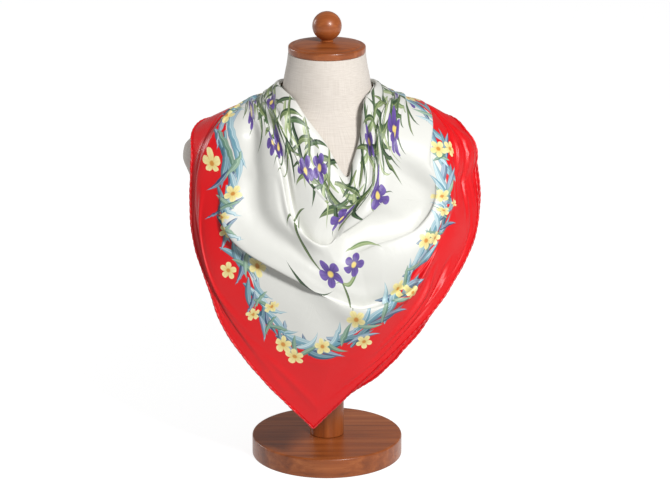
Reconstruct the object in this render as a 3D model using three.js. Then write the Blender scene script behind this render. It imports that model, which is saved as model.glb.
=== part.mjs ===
// A silk square scarf, folded corner to corner and tied behind the neck of a limbless dress form, which
// stands on a turned wooden base, post, neck cap and ball.
// Millimetres, +Z up. The form faces -Y, the viewer's left is -X, and the origin is the middle of the
// base's underside, on the floor.
import * as THREE from 'three';
import { mergeVertices } from 'three/addons/utils/BufferGeometryUtils.js';

// Driving dimensions
const SEAM = 0.3;
const BASE = { radius: 106.6, height: 28.4, edge: 2.6, foot: 1, corner: 0.3 };
const POST = { radius: 24 };
const FORM_FOOT = 190;
const NECK_TOP = 585;
const CAP = { radius: 53.5, rim: 11, dome: 16, bevel: 3 };
// The top of the cap, as shares of its radius and heights above its rim
const CAP_TOP = [[0.6, 1.4], [0.35, 3.5], [0.3, 5]];
const BALL = { radius: 20.3, stemRadius: 9, stemHeight: 3 };
const SILK = { wall: 1.2, hem: 2.4, outerGap: 7, underGap: 2.2, leafStep: 4.6 };
const FRONT_END = 0.62;
const SEAM_TURN = 0.001;
const KNOT = { x: 12, y: 92, z: 509, drop: 20, panelEnd: 0.975 };
const TAIL = {
  length: 185, tie: 7, flare: 26, openAt: 0.7, tip: 0.8, lean: 8, spread: 46, clear: 9.5, over: 5,
  pleat: 4.5, pleats: 1.6, offset: 0.35, ease: 3, settle: 30, wall: 1.6,
};

const WOOD = { color: 0x8a4a25, roughness: 0.35, metalness: 0 };
const LINEN = { color: 0xe6ddd2, roughness: 0.9, metalness: 0 };
const SILK_FRONT = { color: 0xf1efe9, roughness: 0.4, metalness: 0 };
const SILK_RED = { color: 0xd3202c, roughness: 0.4, metalness: 0 };

// The dress form, a row for each level: half its width, and its depth before and behind the post's axis
const FORM = [
  { level: 190, width: 119, front: 95, back: 73 },
  { level: 195, width: 127, front: 102, back: 80 },
  { level: 208, width: 135, front: 110, back: 86 },
  { level: 230, width: 143, front: 119, back: 91 },
  { level: 260, width: 150, front: 125, back: 97 },
  { level: 290, width: 154, front: 125, back: 102 },
  { level: 330, width: 161, front: 119, back: 107 },
  { level: 365, width: 171, front: 111, back: 109 },
  { level: 395, width: 183, front: 103, back: 108 },
  { level: 420, width: 194, front: 95, back: 105 },
  { level: 438, width: 200, front: 89, back: 101 },
  { level: 452, width: 198, front: 83, back: 97 },
  { level: 463, width: 189, front: 78, back: 93 },
  { level: 474, width: 172, front: 74, back: 88 },
  { level: 485, width: 150, front: 70, back: 83 },
  { level: 497, width: 122, front: 66, back: 76 },
  { level: 508, width: 93, front: 63, back: 70 },
  { level: 518, width: 72, front: 61, back: 65 },
  { level: 528, width: 64.5, front: 60, back: 61 },
  { level: 540, width: 61, front: 59, back: 58 },
  { level: 555, width: 58.5, front: 57.5, back: 56 },
  { level: 570, width: 55.5, front: 55.5, back: 55 },
  { level: NECK_TOP, width: 53.5, front: 53.5, back: 53.5 },
];

// How far the silk stands forward of the post's axis at the middle of the chest, a row for each level
const CHEST = [
  { level: 40, depth: 137 }, { level: 100, depth: 142 }, { level: 150, depth: 147 },
  { level: 200, depth: 150 }, { level: 250, depth: 150 }, { level: 300, depth: 142 },
  { level: 350, depth: 127 }, { level: 380, depth: 116 }, { level: 400, depth: 108 },
  { level: 425, depth: 98 }, { level: 450, depth: 89 }, { level: 480, depth: 80 },
  { level: 510, depth: 72 }, { level: 540, depth: 64 }, { level: 560, depth: 60 },
];
const CHEST_HALF_WIDTH = 238;
const SHOULDER_Y = 8;

// The drape hangs in lines from shoulder to shoulder. "across" is 0 at the neck fold and 1 at the hem.
const LINES = [
  { name: 'neck', across: 0 },
  { name: 'roll', across: 0.12 },
  { name: 'inner', across: 0.257 },
  { name: 'outer', across: 0.335 },
  { name: 'cowl', across: 0.487 },
];
// A row for each station: "turn" is -1 at the knot, 0 at the middle of the chest and 1 at the knot again.
// Each line has its x and z there.
const DRAPE = [
  { turn: -0.62, neck: [-59, 541], roll: [-80, 525], inner: [-97, 510],
    outer: [-106, 513], cowl: [-116, 509] },
  { turn: -0.45, neck: [-41, 530], roll: [-64, 510], inner: [-76, 494],
    outer: [-92, 494], cowl: [-135, 491] },
  { turn: -0.29, neck: [-20, 501], roll: [-47, 478], inner: [-58, 443],
    outer: [-83, 435], cowl: [-145, 424] },
  { turn: -0.13, neck: [1, 474], roll: [-23, 439], inner: [-39, 381], outer: [-61, 372], cowl: [-119, 341] },
  { turn: 0, neck: [26, 434], roll: [22, 397], inner: [-1, 353], outer: [8, 328], cowl: [15, 277] },
  { turn: 0.13, neck: [35, 454], roll: [51, 419], inner: [50, 384], outer: [74, 343], cowl: [89, 286] },
  { turn: 0.29, neck: [44, 485], roll: [62, 449], inner: [79, 430], outer: [131, 390], cowl: [138, 324] },
  { turn: 0.45, neck: [50, 528], roll: [65, 501], inner: [88, 482], outer: [156, 457], cowl: [173, 392] },
  { turn: 0.62, neck: [61, 541], roll: [83, 523], inner: [104, 509], outer: [139, 502], cowl: [145, 499] },
];
// The hem, a row for each station, with the square's corner at turn 0
const HEM = [
  { turn: -0.62, x: -180, y: 8, z: 475 },
  { turn: -0.54, x: -188, y: -20, z: 454 },
  { turn: -0.45, x: -190, y: -42, z: 426 },
  { turn: -0.36, x: -188, y: -62, z: 370 },
  { turn: -0.29, x: -181, y: -82, z: 333 },
  { turn: -0.21, x: -163, y: -105, z: 284 },
  { turn: -0.13, x: -137, y: -122, z: 220 },
  { turn: -0.06, x: -84, y: -138, z: 154 },
  { turn: 0, x: -19, y: -141, z: 88 },
  { turn: 0.06, x: 38, y: -145, z: 147 },
  { turn: 0.13, x: 100, y: -136, z: 206 },
  { turn: 0.21, x: 147, y: -118, z: 253 },
  { turn: 0.29, x: 176, y: -95, z: 291 },
  { turn: 0.36, x: 197, y: -68, z: 324 },
  { turn: 0.45, x: 209, y: -38, z: 366 },
  { turn: 0.54, x: 203, y: -16, z: 424 },
  { turn: 0.62, x: 187, y: 8, z: 476 },
];
// How far the under leaf reaches, as a share of the outer leaf: it slips out past the hem on the viewer's
// right, over the shoulder and again beside the corner
const UNDER_REACH = [
  { turn: -0.7, reach: 1 }, { turn: -0.62, reach: 0.99 }, { turn: -0.3, reach: 0.985 },
  { turn: -0.06, reach: 0.98 }, { turn: 0, reach: 0.97 }, { turn: 0.05, reach: 1 },
  { turn: 0.1, reach: 1.075 }, { turn: 0.15, reach: 1.085 }, { turn: 0.21, reach: 1.03 },
  { turn: 0.27, reach: 0.99 }, { turn: 0.36, reach: 0.985 }, { turn: 0.45, reach: 1.06 },
  { turn: 0.54, reach: 1.12 }, { turn: 0.62, reach: 1.1 }, { turn: 0.7, reach: 1.06 },
  { turn: 0.88, reach: 1 },
];
// Each fold lies along a line. side 1 has the lower cloth in front and side -1 the upper cloth. The rows
// say, along the turn, how far the cloth tucks behind, as a share of "across", and how far it stands out.
const FOLDS = [
  { line: 0.12, side: 1, rows: [
    { turn: -0.8, tuck: 0, rise: 0 }, { turn: -0.66, tuck: 0.006, rise: 3 },
    { turn: -0.6, tuck: 0.008, rise: 4 },
    { turn: -0.5, tuck: 0.01, rise: 7 }, { turn: -0.36, tuck: 0.013, rise: 9 },
    { turn: -0.26, tuck: 0.012, rise: 6 },
    { turn: -0.16, tuck: 0.013, rise: 8 }, { turn: -0.06, tuck: 0.013, rise: 11 },
    { turn: -0.01, tuck: 0.012, rise: 6 },
    { turn: 0.04, tuck: 0, rise: 0 },
  ] },
  { line: 0.12, side: 1, rows: [
    { turn: 0.05, tuck: 0, rise: 0 }, { turn: 0.12, tuck: 0.006, rise: 4 },
    { turn: 0.2, tuck: 0.008, rise: 6 },
    { turn: 0.34, tuck: 0.01, rise: 7 }, { turn: 0.5, tuck: 0.01, rise: 6 },
    { turn: 0.6, tuck: 0.008, rise: 4 },
    { turn: 0.66, tuck: 0.006, rise: 3 }, { turn: 0.8, tuck: 0, rise: 0 },
  ] },
  { line: 0.257, side: 1, rows: [
    { turn: -0.8, tuck: 0, rise: 0 }, { turn: -0.66, tuck: 0.004, rise: 3 },
    { turn: -0.6, tuck: 0.008, rise: 5 },
    { turn: -0.45, tuck: 0.01, rise: 7 }, { turn: -0.3, tuck: 0.01, rise: 8 },
    { turn: -0.16, tuck: 0.013, rise: 10 },
    { turn: -0.1, tuck: 0.013, rise: 13 }, { turn: -0.04, tuck: 0.013, rise: 15 },
    { turn: 0, tuck: 0.013, rise: 14 },
    { turn: 0.03, tuck: 0.008, rise: 6 }, { turn: 0.06, tuck: 0, rise: 0 },
  ] },
  { line: 0.257, side: -1, rows: [
    { turn: -0.02, tuck: 0, rise: 0 }, { turn: 0.02, tuck: 0.006, rise: 3 },
    { turn: 0.06, tuck: 0.013, rise: 11 },
    { turn: 0.12, tuck: 0.013, rise: 13 }, { turn: 0.18, tuck: 0.013, rise: 11 },
    { turn: 0.24, tuck: 0.01, rise: 6 },
    { turn: 0.34, tuck: 0.006, rise: 4 }, { turn: 0.5, tuck: 0.005, rise: 4 },
    { turn: 0.6, tuck: 0.008, rise: 5 },
    { turn: 0.72, tuck: 0, rise: 0 },
  ] },
  { line: 0.335, side: 1, rows: [
    { turn: -0.01, tuck: 0, rise: 0 }, { turn: 0.05, tuck: 0.008, rise: 5 },
    { turn: 0.12, tuck: 0.013, rise: 10 },
    { turn: 0.2, tuck: 0.013, rise: 12 }, { turn: 0.28, tuck: 0.013, rise: 11 },
    { turn: 0.35, tuck: 0.01, rise: 6 },
    { turn: 0.4, tuck: 0, rise: 0 },
  ] },
  { line: 0.335, side: -1, rows: [
    { turn: 0.34, tuck: 0, rise: 0 }, { turn: 0.4, tuck: 0.008, rise: 6 },
    { turn: 0.46, tuck: 0.01, rise: 7 },
    { turn: 0.54, tuck: 0.01, rise: 7 }, { turn: 0.6, tuck: 0.01, rise: 5 },
    { turn: 0.66, tuck: 0.008, rise: 4 },
    { turn: 0.78, tuck: 0, rise: 0 },
  ] },
  { line: 0.487, side: -1, rows: [
    { turn: -0.3, tuck: 0, rise: 0 }, { turn: -0.24, tuck: 0.006, rise: 5 },
    { turn: -0.18, tuck: 0.013, rise: 9 },
    { turn: -0.1, tuck: 0.013, rise: 12 }, { turn: -0.05, tuck: 0.013, rise: 10 },
    { turn: -0.02, tuck: 0.006, rise: 4 },
    { turn: 0.01, tuck: 0, rise: 0 },
  ] },
  { line: 0.487, side: 1, rows: [
    { turn: -0.04, tuck: 0, rise: 0 }, { turn: 0, tuck: 0.008, rise: 5 },
    { turn: 0.05, tuck: 0.013, rise: 11 },
    { turn: 0.12, tuck: 0.013, rise: 12 }, { turn: 0.18, tuck: 0.013, rise: 9 },
    { turn: 0.25, tuck: 0.006, rise: 5 },
    { turn: 0.34, tuck: 0, rise: 0 },
  ] },
];
const FOLD_BEND = 0.015;
const FOLD_REACH = 0.125;
const FOLD_FADE = 0.13;
// The soft trough down the viewer's left
const TROUGH_WIDTH = 0.035;
const TROUGH = [
  { turn: -0.6, across: 0.36, depth: 0 }, { turn: -0.5, across: 0.365, depth: 5 },
  { turn: -0.35, across: 0.375, depth: 9 }, { turn: -0.2, across: 0.38, depth: 9 },
  { turn: -0.1, across: 0.37, depth: 5 }, { turn: -0.04, across: 0.36, depth: 0 },
];
// The rolled neck band swells between the neck fold and the roll line, and flattens out towards the knot
const BAND = { across: 0.135, swell: 9, thinning: 0.35, ending: 3, fullness: 0.65 };

// Cubic step between two values with their slopes, at t from 0 to 1
function cubic(t, from, to, slopeFrom, slopeTo) {
  const t2 = t * t;
  const t3 = t2 * t;
  return (2 * t3 - 3 * t2 + 1) * from + (t3 - 2 * t2 + t) * slopeFrom
    + (3 * t2 - 2 * t3) * to + (t3 - t2) * slopeTo;
}

// The stretch of a rising list that holds a value
function stretch(list, value) {
  let i = 0;
  while (i < list.length - 2 && value >= list[i + 1]) i += 1;
  return i;
}

// A column of a table read smoothly, with no overshoot between its rows
function readTable(rows, key, column, value) {
  const keys = rows.map((row) => row[key]);
  const values = rows.map((row) => row[column]);
  const at = THREE.MathUtils.clamp(value, keys[0], keys[keys.length - 1]);
  const rate = (i) => (values[i + 1] - values[i]) / (keys[i + 1] - keys[i]);
  const slope = (i) => {
    if (i === 0) return rate(0);
    if (i === keys.length - 1) return rate(i - 1);
    const before = rate(i - 1);
    const after = rate(i);
    return before * after <= 0 ? 0 : 2 * before * after / (before + after);
  };
  const i = stretch(keys, at);
  const span = keys[i + 1] - keys[i];
  return cubic((at - keys[i]) / span, values[i], values[i + 1], slope(i) * span, slope(i + 1) * span);
}

// A smooth curve through points at rising keys. At the point numbered corner it turns sharply, and calm
// keeps its pace near a short stretch from running past the stretch, as a share of the slower pace.
function curveThrough(keys, points, value, { corner = -1, calm = Infinity } = {}) {
  const i = stretch(keys, value);
  const span = keys[i + 1] - keys[i];
  const rate = (k) => points[k + 1].clone().sub(points[k]).divideScalar(keys[k + 1] - keys[k]);
  const slope = (k) => {
    if (k === corner) return rate(i);
    if (k === 0) return rate(0);
    if (k === keys.length - 1) return rate(k - 1);
    const before = keys[k] - keys[k - 1];
    const after = keys[k + 1] - keys[k];
    const earlier = rate(k - 1);
    const later = rate(k);
    const most = calm * Math.min(earlier.length(), later.length());
    const mean = earlier.multiplyScalar(after).add(later.multiplyScalar(before)).divideScalar(before + after);
    return mean.clampLength(0, most);
  };
  const t = (value - keys[i]) / span;
  const from = slope(i).multiplyScalar(span);
  const to = slope(i + 1).multiplyScalar(span);
  return new THREE.Vector3(
    cubic(t, points[i].x, points[i + 1].x, from.x, to.x),
    cubic(t, points[i].y, points[i + 1].y, from.y, to.y),
    cubic(t, points[i].z, points[i + 1].z, from.z, to.z),
  );
}

// How far outside the form a point lies, as a share of the form there
function formShare(x, y, z) {
  const width = readTable(FORM, 'level', 'width', z);
  const depth = readTable(FORM, 'level', y < 0 ? 'front' : 'back', z);
  return Math.hypot(x / width, y / depth) - 1;
}

// About how many millimetres outside the form a point lies, and the way straight out
const FEEL = 3;
function formField(p) {
  const out = new THREE.Vector3(
    formShare(p.x + FEEL, p.y, p.z) - formShare(p.x - FEEL, p.y, p.z),
    formShare(p.x, p.y + FEEL, p.z) - formShare(p.x, p.y - FEEL, p.z),
    formShare(p.x, p.y, p.z + FEEL) - formShare(p.x, p.y, p.z - FEEL),
  ).divideScalar(2 * FEEL);
  const steepness = Math.max(out.length(), 1e-6);
  return { distance: formShare(p.x, p.y, p.z) / steepness, out: out.divideScalar(steepness) };
}

// Moves a point out until it clears the form by a gap, softly at first
const PUSH = { passes: 3, softness: 4, tightening: 0.35, longest: 30 };
const TROUGH_SOFTNESS = 1.8;
function clearOfForm(point, gap, softness = PUSH.softness) {
  const p = point.clone();
  let soft = softness;
  for (let pass = 0; pass < PUSH.passes; pass += 1) {
    const { distance, out } = formField(p);
    const need = (gap - distance) / soft;
    const move = soft * Math.log1p(Math.exp(THREE.MathUtils.clamp(need, -30, 30)));
    p.addScaledVector(out, Math.min(move, PUSH.longest));
    soft *= PUSH.tightening;
  }
  return p;
}

function chestDepth(x, z) {
  const middle = readTable(CHEST, 'level', 'depth', z);
  return middle * Math.sqrt(Math.max(1 - (x / CHEST_HALF_WIDTH) ** 2, 0.02));
}

// One line of the drape, with its way over the shoulders to the knot behind the neck
const BEHIND = { turn: 0.81, y: 70, spread: 18, lift: 2, sag: 16 };
function wholeLine(turns, front, across) {
  const knot = (side) => new THREE.Vector3(side * KNOT.x, KNOT.y, KNOT.z - KNOT.drop * across);
  const behind = (shoulder, side) => {
    const p = shoulder.clone().add(knot(side)).multiplyScalar(0.5);
    p.y = Math.max(p.y, BEHIND.y + BEHIND.spread * across);
    p.z += BEHIND.lift - BEHIND.sag * across;
    return p;
  };
  const last = front[front.length - 1];
  return {
    across,
    turns: [-1, -BEHIND.turn, ...turns, BEHIND.turn, 1],
    points: [knot(-1), behind(front[0], -1), ...front, behind(last, 1), knot(1)],
  };
}

function drapeLine({ name, across }) {
  const front = DRAPE.map((row) => {
    const [x, z] = row[name];
    const onShoulder = Math.abs(row.turn) === FRONT_END;
    return new THREE.Vector3(x, onShoulder ? SHOULDER_Y : -chestDepth(x, z), z);
  });
  return wholeLine(DRAPE.map((row) => row.turn), front, across);
}

function hemLine() {
  const front = HEM.map((row) => new THREE.Vector3(row.x, row.y, row.z));
  const line = wholeLine(HEM.map((row) => row.turn), front, 1);
  return { ...line, corner: line.turns.indexOf(0) };
}

const leafLines = [...LINES.map(drapeLine), hemLine()];

// The smooth drape, before folds. Past the hem it runs straight on.
const HEM_LEAD = 0.02;
const DRAPE_CALM = 1.6;
function smoothDrape(turn, across) {
  const points = leafLines.map(({ turns, points: places, corner }) => (
    curveThrough(turns, places, turn, { corner })
  ));
  const places = leafLines.map((line) => line.across);
  const at = (place) => curveThrough(places, points, place, { calm: DRAPE_CALM });
  if (across <= 1) return at(across);
  return at(1).lerp(at(1 - HEM_LEAD), (1 - across) / HEM_LEAD);
}

// How deep the soft trough is at a place on either leaf
function troughAt(turn, across) {
  const line = readTable(TROUGH, 'turn', 'across', turn);
  const depth = readTable(TROUGH, 'turn', 'depth', turn);
  return depth * Math.exp(-(((across - line) / TROUGH_WIDTH) ** 2));
}

// What the folds do at a place on the outer leaf: where its cloth really lies across, and how far out
function foldsAt(turn, across) {
  let place = across;
  let rise = 0;
  for (const fold of FOLDS) {
    const tuck = readTable(fold.rows, 'turn', 'tuck', turn);
    const height = readTable(fold.rows, 'turn', 'rise', turn);
    const y = fold.side * (across - fold.line);
    const past = THREE.MathUtils.clamp((-y - 2 * FOLD_BEND) / FOLD_REACH, 0, 1);
    const hold = y < 0 ? Math.cos(past * Math.PI / 2) ** 2 : 1;
    place += fold.side * tuck * (1 - Math.tanh(y / FOLD_BEND)) * hold;
    rise += height * (1 + Math.tanh(y / (2 * FOLD_BEND))) / 2 * Math.exp(-Math.max(y, 0) / FOLD_FADE);
  }
  rise -= troughAt(turn, across);
  const bandShare = THREE.MathUtils.clamp(across / BAND.across, 0, 1);
  const away = Math.abs(turn);
  const bandSwell = BAND.swell * (1 - BAND.thinning * away) * (1 - away ** BAND.ending);
  rise += bandSwell * Math.max(Math.sin(Math.PI * bandShare), 0) ** BAND.fullness;
  return { place: THREE.MathUtils.clamp(place, 0, 1), rise };
}

function outerCloth(turn, across) {
  const { place, rise } = foldsAt(turn, across);
  const p = clearOfForm(smoothDrape(turn, place), SILK.outerGap);
  p.addScaledVector(formField(p).out, rise);
  return clearOfForm(p, SILK.outerGap, TROUGH_SOFTNESS);
}

function underCloth(turn, across) {
  const place = across * readTable(UNDER_REACH, 'turn', 'reach', turn);
  const p = smoothDrape(turn, place);
  p.addScaledVector(formField(p).out, -SILK.leafStep - troughAt(turn, place));
  return clearOfForm(p, SILK.underGap);
}

// Square way out of a surface, by small steps each way
const STEP = 5e-3;
function wayOut(surface, u, v, uEnds, vEnds) {
  const clamp = THREE.MathUtils.clamp;
  const du = surface(clamp(u + STEP, ...uEnds), v).sub(surface(clamp(u - STEP, ...uEnds), v));
  const dv = surface(u, clamp(v + STEP, ...vEnds)).sub(surface(u, clamp(v - STEP, ...vEnds)));
  return dv.cross(du).normalize();
}

// A closed wall on both sides of a surface, over a grid of its two measures
function wall(surface, us, vs, thickness) {
  const uEnds = [us[0], us[us.length - 1]];
  const vEnds = [vs[0], vs[vs.length - 1]];
  const positions = [];
  const faces = [];
  for (const sign of [1, -1]) {
    for (const u of us) {
      for (const v of vs) {
        const out = wayOut(surface, u, v, uEnds, vEnds);
        const p = surface(u, v).addScaledVector(out, sign * thickness(u, v) / 2);
        positions.push(p.x, p.y, p.z);
      }
    }
  }
  const rows = us.length;
  const columns = vs.length;
  const outer = (i, j) => i * columns + j;
  const inner = (i, j) => rows * columns + i * columns + j;
  const quad = (a, b, c, d) => faces.push(a, b, c, a, c, d);
  for (let i = 0; i < rows - 1; i += 1) {
    for (let j = 0; j < columns - 1; j += 1) {
      quad(outer(i, j), outer(i, j + 1), outer(i + 1, j + 1), outer(i + 1, j));
      quad(inner(i, j), inner(i + 1, j), inner(i + 1, j + 1), inner(i, j + 1));
    }
  }
  for (let i = 0; i < rows - 1; i += 1) {
    quad(outer(i, 0), outer(i + 1, 0), inner(i + 1, 0), inner(i, 0));
    quad(outer(i + 1, columns - 1), outer(i, columns - 1), inner(i, columns - 1), inner(i + 1, columns - 1));
  }
  for (let j = 0; j < columns - 1; j += 1) {
    quad(outer(0, j + 1), outer(0, j), inner(0, j), inner(0, j + 1));
    quad(outer(rows - 1, j), outer(rows - 1, j + 1), inner(rows - 1, j + 1), inner(rows - 1, j));
  }
  const geometry = new THREE.BufferGeometry();
  geometry.setAttribute('position', new THREE.Float32BufferAttribute(positions, 3));
  geometry.setIndex(faces);
  return geometry;
}

// Evenly spaced values from one to another
function spaced(from, to, count) {
  return Array.from({ length: count }, (_, i) => from + (to - from) * i / (count - 1));
}

// Grid lines: close together where the folds turn, and near the corner of the square
const FOLD_ROWS = [-2.4, -1.4, -0.7, 0, 0.7, 1.4, 2.4].map((share) => share * FOLD_BEND);
const FOLD_LINES = [...new Set(FOLDS.map((fold) => fold.line))];
const HEM_ROLL_START = 0.978;
const acrossRows = [0, 0.008, 0.022, 0.045, 0.065, 0.188, 0.405, 0.58, 0.66, 0.75, 0.84, 0.92, 0.972,
  HEM_ROLL_START, 1, ...FOLD_LINES.flatMap((line) => FOLD_ROWS.map((step) => line + step))]
  .sort((a, b) => a - b)
  .filter((row, i, rows) => i === 0 || row - rows[i - 1] > 0.003);
const underRows = [0.1, 0.2, 0.3, 0.36, 0.42, 0.48, 0.55, 0.65, 0.75, 0.85, 0.93, 0.972, HEM_ROLL_START, 1];
const bothSides = (turns) => [...turns.map((turn) => -turn).reverse(), 0, ...turns];
const frontTurns = bothSides([
  ...spaced(0.025, 0.17, 7), ...spaced(0.205, 0.405, 6), ...spaced(0.44, FRONT_END, 8),
]);
const underTurns = bothSides([...spaced(0.05, 0.4, 8), ...spaced(0.435, 0.62, 8), ...spaced(0.67, 0.88, 4)]);
const hemmed = (turn, across) => (across >= HEM_ROLL_START ? SILK.hem : SILK.wall);

function scarfStretch(fromTurn, toTurn, count) {
  return wall(outerCloth, spaced(fromTurn, toTurn, count), acrossRows, hemmed);
}

// The knot: an egg pulled in where the two ends cross over it, and flat below, where the tails leave it
const KNOT_LUMP = {
  x: 18.2, y: 10.5, z: 19, flat: 14, centreX: 0.45, centreY: 94.5, centreZ: 499,
  groove: 0.08, slant: 0.6, around: 20, high: 12,
};
function knotGeometry() {
  const geometry = new THREE.SphereGeometry(1, KNOT_LUMP.around, KNOT_LUMP.high);
  geometry.deleteAttribute('normal');
  geometry.deleteAttribute('uv');
  const positions = geometry.getAttribute('position');
  for (let i = 0; i < positions.count; i += 1) {
    const [x, y, z] = [positions.getX(i), positions.getZ(i), positions.getY(i)];
    const girth = 1 - KNOT_LUMP.groove * Math.cos(2 * Math.PI * (z + KNOT_LUMP.slant * x)) * (1 - z * z);
    positions.setXYZ(
      i,
      KNOT_LUMP.centreX - KNOT_LUMP.x * girth * x,
      KNOT_LUMP.centreY + KNOT_LUMP.y * girth * y,
      KNOT_LUMP.centreZ + Math.max(KNOT_LUMP.z * z, -KNOT_LUMP.flat),
    );
  }
  return mergeVertices(geometry, 1e-4);
}

// A free end of the square: gathered at the knot, opening down the back, and ending in its corner
const TAIL_TOP = KNOT_LUMP.centreZ - KNOT_LUMP.flat - 2 * SEAM;
function tailSurface(side) {
  return (along, across) => {
    const down = along * TAIL.length;
    const opened = TAIL.tie + TAIL.flare * Math.sin(Math.PI / 2 * Math.min(along / TAIL.openAt, 1));
    const half = Math.min(opened, Math.max(TAIL.length - down, TAIL.tip));
    const x = side * (TAIL.lean + TAIL.spread * along) + across * half;
    const z = TAIL_TOP - down;
    const calm = Math.min(1, TAIL.ease * (1 - along));
    const pleat = TAIL.pleat * Math.cos(Math.PI * (TAIL.pleats * across + TAIL.offset * side)) * calm;
    const back = readTable(FORM, 'level', 'back', z);
    const width = readTable(FORM, 'level', 'width', z);
    const over = side > 0 ? TAIL.over : 0;
    const y = back * Math.sqrt(1 - (x / width) ** 2) + TAIL.clear + over + pleat;
    return new THREE.Vector3(x, Math.max(y, KNOT_LUMP.centreY - TAIL.settle * along), z);
  };
}

function tailGeometry(side) {
  const thick = () => TAIL.wall;
  return wall(tailSurface(side), spaced(0, 1, 13), spaced(-1, 1, 9), thick);
}

// The dress form: an oval ring at each level, closed flat above and below
const FORM_SIDES = 36;
function formGeometry() {
  const positions = [];
  const faces = [];
  for (const row of FORM) {
    for (let k = 0; k < FORM_SIDES; k += 1) {
      const angle = 2 * Math.PI * k / FORM_SIDES;
      const depth = Math.sin(angle) < 0 ? row.front : row.back;
      positions.push(row.width * Math.cos(angle), depth * Math.sin(angle), row.level);
    }
  }
  const ring = (i, k) => i * FORM_SIDES + (k % FORM_SIDES);
  for (let i = 0; i < FORM.length - 1; i += 1) {
    for (let k = 0; k < FORM_SIDES; k += 1) {
      faces.push(ring(i, k), ring(i, k + 1), ring(i + 1, k + 1));
      faces.push(ring(i, k), ring(i + 1, k + 1), ring(i + 1, k));
    }
  }
  const foot = positions.length / 3;
  positions.push(0, 0, FORM[0].level, 0, 0, NECK_TOP);
  for (let k = 0; k < FORM_SIDES; k += 1) {
    faces.push(foot, ring(0, k + 1), ring(0, k));
    faces.push(foot + 1, ring(FORM.length - 1, k), ring(FORM.length - 1, k + 1));
  }
  const geometry = new THREE.BufferGeometry();
  geometry.setAttribute('position', new THREE.Float32BufferAttribute(positions, 3));
  geometry.setIndex(faces);
  return geometry;
}

// Turned wood: a profile of radius and height, spun about the post's axis
function turned(profile, sides) {
  const points = profile.map(([radius, height]) => new THREE.Vector2(radius, height));
  return new THREE.LatheGeometry(points, sides).rotateX(Math.PI / 2);
}

function baseGeometry() {
  const { radius, height, edge, foot, corner } = BASE;
  return turned([
    [0, 0], [radius - foot, 0], [radius, foot], [radius, height - edge],
    [radius - edge * corner, height - edge * corner], [radius - edge, height], [0, height],
  ], 48);
}

function postGeometry() {
  const foot = BASE.height + SEAM;
  const top = FORM_FOOT - SEAM;
  return turned([[0, foot], [POST.radius, foot], [POST.radius, top], [0, top]], 32);
}

function capGeometry() {
  const foot = NECK_TOP + SEAM;
  const { radius, rim, dome, bevel } = CAP;
  const top = CAP_TOP.map(([share, rise]) => [radius * share, foot + rim + rise]);
  return turned([
    [0, foot], [radius - bevel, foot], [radius, foot + bevel], [radius, foot + rim - bevel],
    [radius - bevel, foot + rim], ...top, [0, foot + dome],
  ], 40);
}

function ballGeometry() {
  const foot = NECK_TOP + SEAM + CAP.dome + SEAM;
  const { radius, stemRadius, stemHeight } = BALL;
  const start = Math.asin(stemRadius / radius);
  const centre = foot + stemHeight + radius * Math.cos(start);
  const arc = spaced(start, Math.PI, 11).map((a) => [radius * Math.sin(a), centre - radius * Math.cos(a)]);
  arc[arc.length - 1][0] = 0;
  return turned([[0, foot], [stemRadius, foot], ...arc], 24);
}

const part = new THREE.Group();
function add(name, geometry, look) {
  const mesh = new THREE.Mesh(geometry, new THREE.MeshStandardMaterial(look));
  mesh.name = name;
  part.add(mesh);
}

add('base_disc', baseGeometry(), WOOD);
add('post', postGeometry(), WOOD);
add('dress_form', formGeometry(), LINEN);
add('neck_cap', capGeometry(), WOOD);
add('ball_finial', ballGeometry(), WOOD);
add('scarf_front', wall(outerCloth, frontTurns, acrossRows, hemmed), SILK_FRONT);
add('scarf_back_left', scarfStretch(-KNOT.panelEnd, -FRONT_END - SEAM_TURN, 8), SILK_FRONT);
add('scarf_back_right', scarfStretch(FRONT_END + SEAM_TURN, KNOT.panelEnd, 8), SILK_FRONT);
add('under_leaf', wall(underCloth, underTurns, underRows, hemmed), SILK_RED);
add('knot', knotGeometry(), SILK_RED);
add('tail_left', tailGeometry(-1), SILK_RED);
add('tail_right', tailGeometry(1), SILK_RED);

export default part;
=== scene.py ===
# %% [markdown]
# # A silk square on a dress form
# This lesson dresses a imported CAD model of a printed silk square, worn on a limbless dress form. The CAD
# model is the frame: every piece made here sits where its solid sits, in metres, with the form facing -Y.
# We take the camera and the room first, then the wood and the linen, then the silk and its print.

# %% Load the frame
import math
import bpy
import numpy as np
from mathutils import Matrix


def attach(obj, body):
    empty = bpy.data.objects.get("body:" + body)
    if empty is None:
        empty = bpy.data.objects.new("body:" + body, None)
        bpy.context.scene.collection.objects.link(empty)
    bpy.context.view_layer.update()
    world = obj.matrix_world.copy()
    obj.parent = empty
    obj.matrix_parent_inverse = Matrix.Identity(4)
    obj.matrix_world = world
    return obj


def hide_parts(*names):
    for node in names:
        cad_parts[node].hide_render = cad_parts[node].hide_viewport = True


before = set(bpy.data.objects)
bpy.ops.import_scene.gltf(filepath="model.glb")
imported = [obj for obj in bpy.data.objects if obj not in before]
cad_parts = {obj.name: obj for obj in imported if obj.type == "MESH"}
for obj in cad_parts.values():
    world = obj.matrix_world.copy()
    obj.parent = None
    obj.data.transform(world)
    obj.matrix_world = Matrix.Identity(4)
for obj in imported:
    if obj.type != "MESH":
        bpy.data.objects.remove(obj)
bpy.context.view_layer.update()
MM = 0.001

# %% [markdown]
# ## The camera
# The photograph was taken from a few metres away with a long lens, a little above the form and looking
# down. A long lens keeps the two shoulders the same size. We could tilt the scene instead, but a camera
# that stands where the real one stood gives every ellipse of the base its right shape.

# %% Place the camera
CAMERA_AWAY = 3.958
CAMERA_HEIGHT = 1.5257
CAMERA_PITCH = 0.3
LENS_WIDTH = 158.77
SIDE_SHIFT = 0.012


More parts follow.
